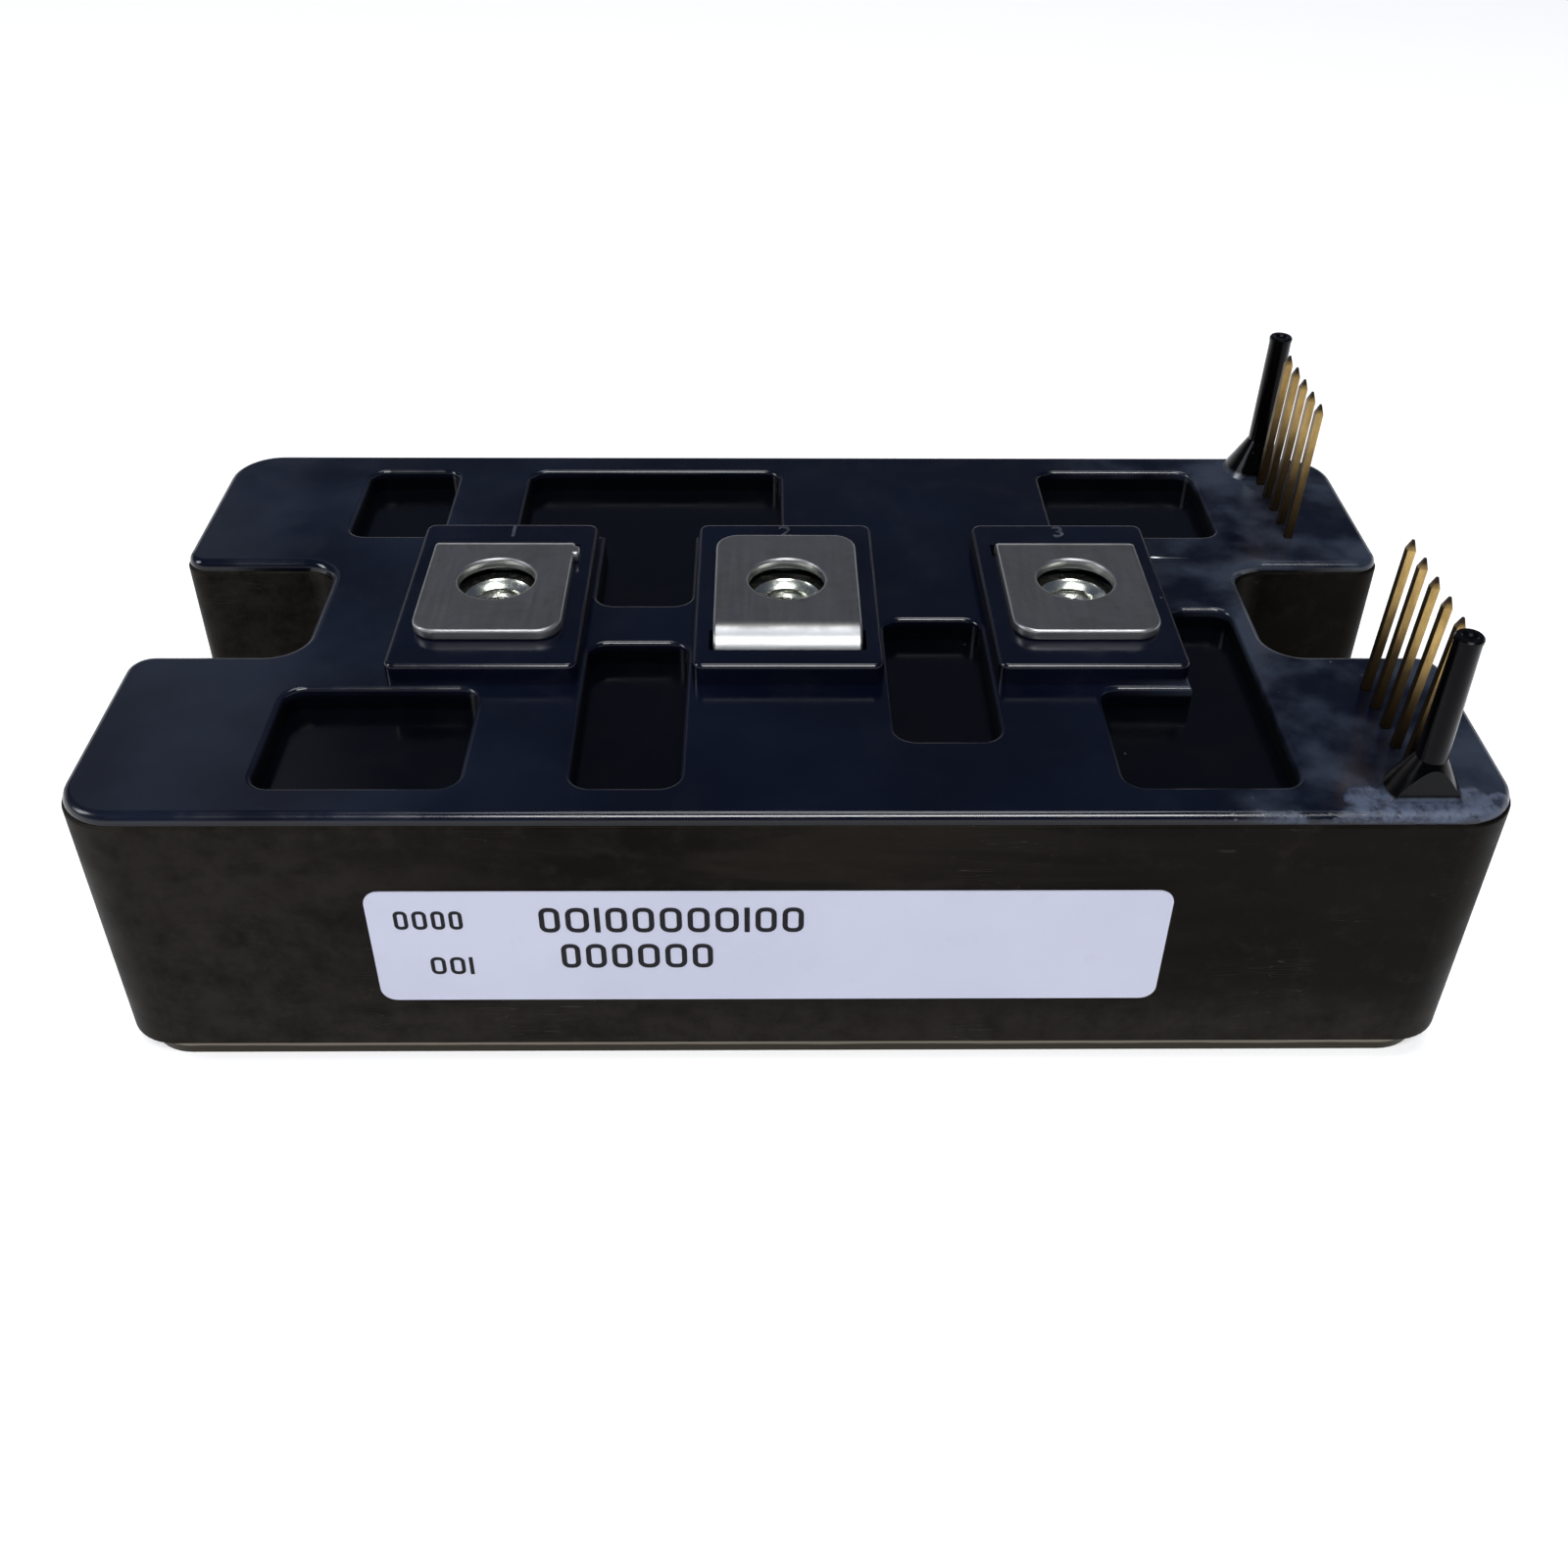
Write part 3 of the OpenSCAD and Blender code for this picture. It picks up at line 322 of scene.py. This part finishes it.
def case_plastic():
    """Black filled resin: brown smears, dust at the foot and left end, fine scratches."""
    g = Graph("case_plastic")
    cloud = g.noise(11 * MM, detail=5, stretch=(0.6, 1, 1.5), rough=0.6)
    stain = g.noise(3 * MM, detail=5, shift=4.0, rough=0.7)
    color = g.mix(cloud.rise(0.32, 0.7), (0.0009, 0.0008, 0.0007), (0.0060, 0.0051, 0.0040))
    color = g.mix(stain.rise(0.50, 0.74) * 0.6, color, (0.0130, 0.0112, 0.0090))
    smear = g.noise(8 * MM, detail=6, stretch=(0.4, 1, 1.3), shift=13.0, rough=0.65, twist=0.8)
    smear = smear.rise(0.44, 0.64) * g.x.rise(40 * MM, 10 * MM)
    color = g.mix(smear * 0.6, color, (0.0135, 0.0116, 0.0092))
    dusty = g.x.rise(-12 * MM, -46 * MM).largest(g.z.rise(9 * MM, 4 * MM)) * stain.rise(0.25, 0.65)
    color = g.mix(dusty * 0.75, color, (0.0185, 0.0165, 0.0140))
    wander = g.noise(2.2 * MM, detail=1, stretch=(0.16, 1, 2.2), shift=7.0, twist=1.5)
    scratch = abs(wander - 0.5).rise(0.006, 0.0) * g.noise(9 * MM, shift=2.0).rise(0.56, 0.66)
    color = g.mix(scratch * 0.35, color, (0.075, 0.070, 0.062))
    rough = cloud.rise(0.3, 0.7).spread(0.40, 0.56)
    g.bump(g.noise(0.5 * MM, detail=3), 0.010 * MM)
    g.bump(scratch.inverse(), 0.01 * MM)
    brown = (1.0, 0.86, 0.70, 1.0)
    return g.finish(color, rough, Specular_IOR_Level=0.05, Specular_Tint=brown)


def nickel_plate():
    """Satin nickel over copper, slightly yellowed, rubbed along its length."""
    g = Graph("nickel_plate")
    tarnish = g.noise(7 * MM, detail=5, rough=0.6)
    color = g.mix(tarnish.rise(0.3, 0.75), (0.46, 0.425, 0.365), (0.31, 0.28, 0.235))
    rub = g.noise(0.5 * MM, detail=3, stretch=(0.04, 1, 1))
    stain = g.noise(2.0 * MM, detail=6, shift=6.0, rough=0.7).rise(0.60, 0.74)
    color = g.mix(stain * 0.4, color, (0.20, 0.165, 0.12))
    # the plate's edge is duller, and its lower half darkened by a painted contact shadow with some
    # stain
    upright = g.tilt().rise(0.7, 0.4)
    color = g.mix(upright * 0.85, color, (0.150, 0.132, 0.105))
    foot_shadow_and_stain = (g.z + tarnish * (0.3 * MM)).rise(1.0 * MM, 0.80 * MM) * upright
    color = g.mix(foot_shadow_and_stain * 0.9, color, (0.022, 0.019, 0.015))
    rough = rub.spread(0.26, 0.48) + stain * 0.12
    g.bump(rub, 0.004 * MM)
    return g.finish(color, rough, Metallic=1.0)


def terminal_nickel():
    """Nickel strip: fine rolling grain, dull blotches, and a cooler, even colour painted wherever
    it doesn't lie flat, to tint the highlights on its bend and rounded edges.
    """
    g = Graph("terminal_nickel")
    dull = g.noise(4.5 * MM, detail=5, rough=0.6, twist=0.5)
    color = g.mix(dull.rise(0.32, 0.72), (0.500, 0.476, 0.450), (0.270, 0.256, 0.243))
    grain = g.noise(0.35 * MM, detail=3, stretch=(1, 0.06, 1))
    spot = g.noise(1.3 * MM, detail=4, shift=2.0).rise(0.64, 0.74)
    color = g.mix(spot * 0.45, color, (0.24, 0.225, 0.21))
    # painted highlight tint: a cooler, even colour on the bend, the upright leg and the rounded
    # edges
    painted_tint_on_bends_and_edges = g.tilt().rise(0.985, 0.88)
    color = g.mix(painted_tint_on_bends_and_edges * 0.8, color, (0.34, 0.352, 0.365))
    rough = grain.spread(0.26, 0.36) + dull.rise(0.3, 0.8) * 0.10 + painted_tint_on_bends_and_edges * 0.04
    g.bump(grain, 0.002 * MM)
    return g.finish(color, rough, Metallic=1.0)


def nut_zinc():
    """Bright zinc with a faint greenish yellow cast and patches of grime."""
    g = Graph("nut_zinc")
    cast = g.noise(2.2 * MM, detail=4)
    color = g.mix(cast.rise(0.35, 0.7), (0.78, 0.79, 0.72), (0.60, 0.63, 0.55))
    grime = g.noise(0.9 * MM, detail=5, shift=8.0, rough=0.7).rise(0.55, 0.72)
    color = g.mix(grime * 0.5, color, (0.22, 0.21, 0.16))
    g.bump(g.noise(0.3 * MM, detail=3), 0.004 * MM)
    return g.finish(color, cast.spread(0.16, 0.30) + grime * 0.15, Metallic=1.0)


def pin_gold():
    """Dulled gold plating with painted shade on its -X side, dark at the foot and at the tip."""
    g = Graph("pin_gold")
    worn = g.noise(1.4 * MM, detail=5, stretch=(1, 1, 0.35), rough=0.65)
    color = g.mix(worn.rise(0.35, 0.72), (0.50, 0.340, 0.130), (0.27, 0.175, 0.065))
    ragged_z = g.z + g.noise(3 * MM, detail=4, shift=2.0) * (4 * MM)
    low = ragged_z.rise(LID_TOP + 12 * MM, LID_TOP + 6 * MM)
    color = g.mix(low * 0.94, color, (0.045, 0.029, 0.015))
    # painted shade on the -X side
    shaded = g.normal("X").rise(-0.3, -0.7) * worn.rise(0.2, 0.6).spread(0.6, 0.9)
    color = g.mix(shaded, color, (0.060, 0.038, 0.018))
    tip = g.z.rise(LID_TOP + 12.1 * MM, LID_TOP + 12.6 * MM)
    color = g.mix(tip * 0.95, color, (0.020, 0.014, 0.010))
    g.bump(g.noise(0.25 * MM, detail=3, stretch=(1, 1, 0.15)), 0.004 * MM)
    return g.finish(color, worn.spread(0.26, 0.42) + low * 0.1, Metallic=1.0)


def label_film():
    """Pale lavender film with a soft sheen, faint clouds and soil."""
    g = Graph("label_film")
    tone = g.noise(18 * MM, detail=4, rough=0.55)
    color = g.mix(tone.rise(0.3, 0.7), (0.555, 0.570, 0.705), (0.600, 0.615, 0.745))
    soil = g.noise(2.5 * MM, detail=6, shift=3.0, rough=0.7).rise(0.58, 0.78)
    color = g.mix(soil * 0.20, color, (0.45, 0.45, 0.52))
    g.bump(g.noise(1.2 * MM, detail=3), 0.006 * MM)
    return g.finish(color, tone.spread(0.34, 0.44), Specular_IOR_Level=0.35)


def label_ink():
    """Dark print, a little uneven in its cover."""
    g = Graph("label_ink")
    cover = g.noise(0.35 * MM, detail=4, rough=0.7)
    color = g.mix(cover.rise(0.55, 0.85), (0.003, 0.003, 0.006), (0.030, 0.030, 0.045))
    return g.finish(color, cover.spread(0.38, 0.5), Specular_IOR_Level=0.15)


def plain(name, tone, deep, size, rough, **uniform):
    """A mottled material for the pieces that the closed case hides."""
    g = Graph(name)
    fleck = g.noise(size, detail=5, rough=0.6)
    color = g.mix(fleck.rise(0.32, 0.72), tone, deep)
    g.bump(g.noise(size / 6, detail=3), 0.006 * MM)
    return g.finish(color, fleck.spread(*rough), **uniform)


def hidden_materials():
    """Materials of the pieces inside, by the record's slot."""
    return {
        "alumina": plain("alumina", (0.80, 0.79, 0.76), (0.70, 0.69, 0.65), 3 * MM, (0.45, 0.6)),
        "copper": plain("copper", (0.75, 0.42, 0.24), (0.50, 0.25, 0.14), 4 * MM, (0.25, 0.42),
                        Metallic=1.0),
        "silicon": plain("silicon", (0.27, 0.29, 0.33), (0.18, 0.20, 0.24), 2 * MM, (0.15, 0.28),
                         Metallic=0.7),
        "aluminium_wire": plain("aluminium_wire", (0.80, 0.81, 0.82), (0.66, 0.67, 0.69), 1 * MM,
                                (0.25, 0.4), Metallic=1.0),
        "tinned_pin": plain("tinned_pin", (0.66, 0.64, 0.58), (0.50, 0.48, 0.42), 1.5 * MM,
                            (0.3, 0.45), Metallic=1.0),
        "board_laminate": plain("board_laminate", (0.022, 0.120, 0.055), (0.014, 0.080, 0.038),
                                2 * MM, (0.3, 0.42)),
        "chip_resin": plain("chip_resin", (0.013, 0.013, 0.015), (0.022, 0.022, 0.024), 1.2 * MM,
                            (0.5, 0.65)),
        "capacitor_resin": plain("capacitor_resin", (0.60, 0.36, 0.075), (0.48, 0.27, 0.05),
                                 2 * MM, (0.35, 0.5)),
        "gel": plain("gel", (0.62, 0.68, 0.70), (0.52, 0.58, 0.60), 5 * MM, (0.08, 0.16),
                     Transmission_Weight=0.8, IOR=1.41),
    }


def dress(materials):
    """Gives every CAD node the material of its record slot."""
    for part in frame["record"]["subparts"]:
        mesh = NODES[part["node"]].data
        mesh.materials.clear()
        mesh.materials.append(materials[part["material_slot"]])


STRIP_EDGE = 0.25 * MM
WELD_REACH = 0.001 * MM
FLAT_WITHIN = math.radians(0.5)
SHARP_FROM = math.radians(50)


def soften(node, width):
    """Small rounded edges on a CAD node, by modifiers that leave its mesh alone."""
    obj = NODES[node]
    weld = obj.modifiers.new("weld", "WELD")
    weld.merge_threshold = WELD_REACH
    flats = obj.modifiers.new("flats", "DECIMATE")
    flats.decimate_type = "DISSOLVE"
    flats.angle_limit = FLAT_WITHIN
    bevel = obj.modifiers.new("edges", "BEVEL")
    bevel.width = width
    bevel.segments = 3
    bevel.use_clamp_overlap = False
    bevel.limit_method = "ANGLE"
    bevel.angle_limit = SHARP_FROM
    obj.modifiers.new("shading", "WEIGHTED_NORMAL")


# ---------------------------------------------------------------- added pieces

def piece(name, bm, material, smooth_angle=None):
    """Turns a bmesh in frame coordinates into a piece that rides on the part."""
    mesh = bpy.data.meshes.new(name)
    bm.to_mesh(mesh)
    bm.free()
    mesh.materials.append(material)
    if smooth_angle is not None:
        mesh.shade_smooth()
        mesh.set_sharp_from_angle(angle=math.radians(smooth_angle))
    obj = bpy.data.objects.new(name, mesh)
    bpy.context.scene.collection.objects.link(obj)
    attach(obj, "root")
    return obj


THREAD_PITCH = 0.8 * MM
THREAD_DEPTH = 0.42 * MM
THREAD_HALF_WIDTH = 0.42  # of a groove, as a share of the pitch
THREAD_FADE = 1 / 6       # share of the bore over which the thread starts and ends
BORE_R = 2.1 * MM
SINK_R = 2.9 * MM
NUT_FLATS = 8 * MM
NUT_CHAMFER = 0.45 * MM
NUT_FACE_SHARE = 0.485    # radius of the flat end faces, as a share of NUT_FLATS
TURN_STEPS = 96
BORE_STEPS = 44


def thread_groove(turn, z):
    """Depth of the thread's groove at a height, for a turn of 0 to 1."""
    phase = (z / THREAD_PITCH - turn) % 1
    return THREAD_DEPTH * max(0.0, 1 - abs(phase - 0.5) / THREAD_HALF_WIDTH)


def nut_rings(low, high):
    """Rings of a nut from its outer bottom edge, over the top and down the bore.
    Each ring is a function that gives (radius, z) for a turn of 0 to 1."""
    corner = NUT_FLATS / math.sqrt(3)
    face_r = NUT_FACE_SHARE * NUT_FLATS

    def hexagon(limit, z):
        def ring(turn):
            angle = (turn * 6 % 1 - 0.5) * math.pi / 3
            return min(NUT_FLATS / 2 / math.cos(angle), limit), z
        return ring

    def circle(radius, z):
        return lambda turn: (radius, z)

    def threaded(z, fade):
        return lambda turn: (BORE_R + fade * thread_groove(turn, z - low), z)

    sink = SINK_R - BORE_R
    rings = [circle(SINK_R, low), circle(face_r, low)]
    rings += [hexagon(corner, low + NUT_CHAMFER), hexagon(corner, high - NUT_CHAMFER)]
    rings += [circle(face_r, high), circle(SINK_R, high)]
    rings += [circle(SINK_R - 0.25 * sink, high - 0.25 * sink)]
    sink_depth = 0.6 * sink
    for k in range(BORE_STEPS + 1):
        share = k / BORE_STEPS
        z = high - sink_depth - share * (high - low - 2 * sink_depth)
        rings.append(threaded(z, min(1.0, share / THREAD_FADE, (1 - share) / THREAD_FADE)))
    return rings


def threaded_nut(side, material):
    """The nut of one terminal with the turns of its thread cut in."""
    low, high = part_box(f"nut_{side}")
    centre = (low + high) / 2
    bm = bmesh.new()
    loops = []
    for ring in nut_rings(low.z, high.z):
        loop = []
        for k in range(TURN_STEPS):
            turn = k / TURN_STEPS
            radius, z = ring(turn)
            angle = 2 * math.pi * turn
            x = centre.x + radius * math.cos(angle)
            y = centre.y + radius * math.sin(angle)
            loop.append(bm.verts.new((x, y, z)))
        loops.append(loop)
    for inner, outer in zip(loops, loops[1:] + loops[:1]):
        for k in range(TURN_STEPS):
            n = (k + 1) % TURN_STEPS
            bm.faces.new((inner[k], inner[n], outer[n], outer[k]))
    bmesh.ops.recalc_face_normals(bm, faces=bm.faces)
    nut = piece(f"threaded_nut_{side}", bm, material, smooth_angle=35)
    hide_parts(f"nut_{side}")


def rounded_outline(low, high, radius, steps):
    """Points (x, z) of a rectangle between two corners, with round corners."""
    outline = []
    for sx, sz, start in ((1, 1, 0), (-1, 1, 90), (-1, -1, 180), (1, -1, 270)):
        cx = high[0] - radius if sx > 0 else low[0] + radius
        cz = high[1] - radius if sz > 0 else low[1] + radius
        for k in range(steps + 1):
            a = math.radians(start + 90 * k / steps)
            outline.append((cx + radius * math.cos(a), cz + radius * math.sin(a)))
    return outline


def rounded_slab(bm, low, high, radius, y_back, y_front, steps=8):
    """Adds a slab in the XZ plane between two corners (x, z), with round corners."""
    outline = rounded_outline(low, high, radius, steps)
    front = [bm.verts.new((x, y_front, z)) for x, z in outline]
    back = [bm.verts.new((x, y_back, z)) for x, z in outline]
    bm.faces.new(front)
    bm.faces.new(back[::-1])
    for k in range(len(outline)):
        n = (k + 1) % len(outline)
        bm.faces.new((front[k], back[k], back[n], front[n]))


LABEL_CORNER = 1.2 * MM
INK_DEPTH = 0.02 * MM
BAR_CORNER = 0.05 * MM
RING_CORNER_SHARE = 0.42

# Plain rings and bars that stand for print: (start, height of the line's middle above
# the label's foot, height, stroke, gap, widths), in millimetres; a width of 0 is a bar
PRINT_LINES = (
    (2.0, 8.4, 1.85, 0.30, 0.32, (1.05, 1.1, 1.0, 1.0)),
    (12.8, 8.4, 2.5, 0.40, 0.42, (1.55, 1.75, 0, 1.6, 1.6, 1.65, 1.65, 1.75, 0, 1.6, 1.6)),
    (4.2, 3.7, 1.8, 0.30, 0.32, (1.15, 1.15, 0)),
    (14.2, 4.7, 2.5, 0.40, 0.42, (1.45, 1.55, 1.55, 1.65, 1.65, 1.55)),
)


def print_ring(bm, low, high, stroke, y_back, y_front):
    """Adds a rounded ring in the XZ plane between two corners (x, z)."""
    outer_r = min(high[0] - low[0], high[1] - low[1]) * RING_CORNER_SHARE
    inner_low = (low[0] + stroke, low[1] + stroke)
    inner_high = (high[0] - stroke, high[1] - stroke)
    outer = rounded_outline(low, high, outer_r, 4)
    inner = rounded_outline(inner_low, inner_high, max(outer_r - stroke, 0.1 * stroke), 4)
    outer_front, inner_front, outer_back, inner_back = (
        [bm.verts.new((x, y, z)) for x, z in line]
        for y in (y_front, y_back) for line in (outer, inner)
    )
    for a, b in ((outer_front, inner_front), (inner_front, inner_back),
                 (inner_back, outer_back), (outer_back, outer_front)):
        for k in range(len(a)):
            n = (k + 1) % len(a)
            bm.faces.new((a[k], a[n], b[n], b[k]))


def label(film, ink):
    """The label's film, with rows of plain rings where such labels are printed."""
    low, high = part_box("rating_label")
    ink_y = low.y + INK_DEPTH
    bm = bmesh.new()
    rounded_slab(bm, (low.x, low.z), (high.x, high.z), LABEL_CORNER, high.y, ink_y)
    sheet = piece("printed_label", bm, film)
    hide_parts("rating_label")
    bm = bmesh.new()
    for start, middle, height, stroke, gap, widths in PRINT_LINES:
        x = low.x + start * MM
        z = low.z + (middle - height / 2) * MM
        for width in widths:
            width = max(width, stroke)
            box = ((x, z), (x + width * MM, z + height * MM))
            if width > stroke:
                print_ring(bm, *box, stroke * MM, ink_y, low.y)
            else:
                rounded_slab(bm, *box, BAR_CORNER, ink_y, low.y, steps=2)
            x += (width + gap) * MM
    bmesh.ops.recalc_face_normals(bm, faces=bm.faces)
    piece("label_print", bm, ink)


NUMBER_SIZE = 2.5 * MM
NUMBER_Y = 9.4 * MM
NUMBER_CENTRE_ABOVE = 0.03 * MM
NUMBER_HALF_HEIGHT = 0.06 * MM
NUMBER_EDGE = 0.02 * MM


def raised_number(name, text, size, centre, material):
    """A plain moulded number lying on a flat top, its middle at centre."""
    curve = bpy.data.curves.new(name, "FONT")
    curve.body = text
    curve.size = size
    curve.align_x = "CENTER"
    curve.align_y = "CENTER"
    curve.extrude = NUMBER_HALF_HEIGHT
    curve.bevel_depth = NUMBER_EDGE
    curve.resolution_u = 4
    text_object = bpy.data.objects.new(name + "_curve", curve)
    bpy.context.scene.collection.objects.link(text_object)
    bpy.context.view_layer.update()
    bm = bmesh.new()
    bm.from_mesh(text_object.to_mesh())
    bpy.data.objects.remove(text_object)
    bmesh.ops.translate(bm, verts=bm.verts, vec=centre)
    piece(name, bm, material)


def platform_numbers(material):
    """A plain number behind each terminal."""
    for number, side in enumerate(SIDES, start=1):
        low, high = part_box(f"terminal_{side}")
        centre = Vector(((low.x + high.x) / 2, NUMBER_Y, PLATFORM_TOP + NUMBER_CENTRE_ABOVE))
        raised_number(f"terminal_number_{number}", str(number), NUMBER_SIZE, centre, material)


# ---------------------------------------------------------------- light, floor, camera

# Name, place, width and height in metres, power in watts and colour
LAMPS = (
    ("key", (0.06, -0.55, 0.80), (0.50, 0.24), 6.4, (1.0, 1.0, 1.0)),
    ("top", (0.05, 0.10, 1.10), (0.50, 0.50), 3.5, (0.95, 0.97, 1.0)),
    ("left", (-0.80, -0.10, 0.55), (0.25, 0.40), 2.5, (0.93, 0.96, 1.0)),
    ("back_left", (-0.62, 1.00, 0.80), (0.45, 0.60), 0.13, (0.85, 0.92, 1.0)),
)
LAMP_TARGET = Vector((0, 0, 0.02))


def area_lamp(name, place, size, power, color):
    """A rectangular lamp that points at the part."""
    data = bpy.data.lights.new(name, "AREA")
    data.shape = "RECTANGLE"
    data.size, data.size_y = size
    data.energy = power
    data.color = color
    lamp = bpy.data.objects.new(name, data)
    bpy.context.scene.collection.objects.link(lamp)
    lamp.location = place
    aim = LAMP_TARGET - Vector(place)
    lamp.rotation_euler = aim.to_track_quat("-Z", "Y").to_euler()


FLOOR_RADIUS = 3.0
FLOOR_DROP = 0.02 * MM
FLOOR_GLOW = 0.40
FLOOR_GLOW_FAR = 0.60
LIT_WITHIN = 0.35
UNLIT_FROM = 1.6


def floor():
    """White floor that stays white to the camera and to reflections and keeps the shadow."""
    g = Graph("floor_white")
    material = g.finish((0.80, 0.80, 0.80), 0.9, Specular_IOR_Level=0.0)
    path = g.new("ShaderNodeLightPath")
    seen = Value(g, path.outputs["Is Camera Ray"])
    for ray in ("Is Glossy Ray", "Is Transmission Ray"):
        seen = seen.largest(Value(g, path.outputs[ray]))
    g.shader.inputs["Emission Color"].default_value = (1, 1, 1, 1)
    # the lamps don't reach far out, so the floor makes up for it there
    far = g.math("SQRT", g.x * g.x + g.y * g.y).rise(LIT_WITHIN, UNLIT_FROM)
    glow = seen * (far * FLOOR_GLOW_FAR + FLOOR_GLOW)
    g.link(glow, g.shader.inputs["Emission Strength"])
    bm = bmesh.new()
    bmesh.ops.create_circle(bm, cap_ends=True, segments=96, radius=FLOOR_RADIUS)
    mesh = bpy.data.meshes.new("floor")
    bm.to_mesh(mesh)
    bm.free()
    mesh.materials.append(material)
    obj = bpy.data.objects.new("floor", mesh)
    obj.location.z = -FLOOR_DROP
    bpy.context.scene.collection.objects.link(obj)


def world():
    """White to the camera; pale round the horizon and dark overhead to all else."""
    scene_world = bpy.data.worlds.new("studio")
    scene_world.use_nodes = True
    tree = scene_world.node_tree
    background = tree.nodes["Background"]
    coords = tree.nodes.new("ShaderNodeTexCoord")
    axes = tree.nodes.new("ShaderNodeSeparateXYZ")
    ramp = tree.nodes.new("ShaderNodeValToRGB")
    tree.links.new(coords.outputs["Generated"], axes.inputs[0])
    tree.links.new(axes.outputs["Z"], ramp.inputs[0])
    stops = ramp.color_ramp.elements
    stops[0].position, stops[0].color = 0.08, (1.0, 1.0, 1.0, 1)
    stops[1].position, stops[1].color = 0.26, (0.050, 0.062, 0.092, 1)
    seen = tree.nodes.new("ShaderNodeLightPath").outputs["Is Camera Ray"]
    backdrop = tree.nodes.new("ShaderNodeMix")
    backdrop.data_type = "RGBA"
    tree.links.new(seen, backdrop.inputs["Factor"])
    tree.links.new(ramp.outputs[0], backdrop.inputs[6])
    backdrop.inputs[7].default_value = (1, 1, 1, 1)
    tree.links.new(backdrop.outputs[2], background.inputs["Color"])
    bpy.context.scene.world = scene_world


# The camera was fitted to the outline's corners, the terminals and the pins: metres,
# degrees, and millimetres for the lens and its sensor
CAMERA_PLACE = Vector((-2.050, -116.187, 98.112)) * MM
CAMERA_PITCH = 38.103
CAMERA_YAW = 0.982
CAMERA_ROLL = 0.5525
CAMERA_LENS = 36.997
SENSOR_WIDTH = 36
CLIP_START = 0.01
CLIP_END = 20


def camera():
    """The photograph's viewpoint."""
    pitch, yaw, roll = (math.radians(a) for a in (CAMERA_PITCH, CAMERA_YAW, CAMERA_ROLL))
    # rows: right, down and forward of the camera, before yaw and roll
    looking_down = Matrix((
        (1, 0, 0),
        (0, -math.sin(pitch), -math.cos(pitch)),
        (0, math.cos(pitch), -math.sin(pitch)),
    ))
    rows = Matrix.Rotation(roll, 3, "Z") @ looking_down @ Matrix.Rotation(yaw, 3, "Z")
    turn = Matrix((rows[0], -rows[1], -rows[2])).transposed()
    data = bpy.data.cameras.new("camera")
    data.lens = CAMERA_LENS
    data.sensor_width = SENSOR_WIDTH
    data.clip_start = CLIP_START
    data.clip_end = CLIP_END
    obj = bpy.data.objects.new("camera", data)
    obj.matrix_world = Matrix.Translation(CAMERA_PLACE) @ turn.to_4x4()
    bpy.context.scene.collection.objects.link(obj)
    bpy.context.scene.camera = obj


# ---------------------------------------------------------------- the scene

def main():
    materials = {
        "lid_plastic": lid_plastic(),
        "case_plastic": case_plastic(),
        "nickel_plate": nickel_plate(),
        "terminal_nickel": terminal_nickel(),
        "nut_zinc": nut_zinc(),
        "pin_gold": pin_gold(),
        "label_film": label_film(),
        **hidden_materials(),
    }
    dress(materials)
    for side in SIDES:
        soften(f"terminal_{side}", STRIP_EDGE)
        threaded_nut(side, materials["nut_zinc"])
    label(materials["label_film"], label_ink())
    platform_numbers(number_plastic())
    floor()
    world()
    for lamp in LAMPS:
        area_lamp(*lamp)
    camera()
    bpy.context.scene.view_settings.view_transform = "Standard"


main()
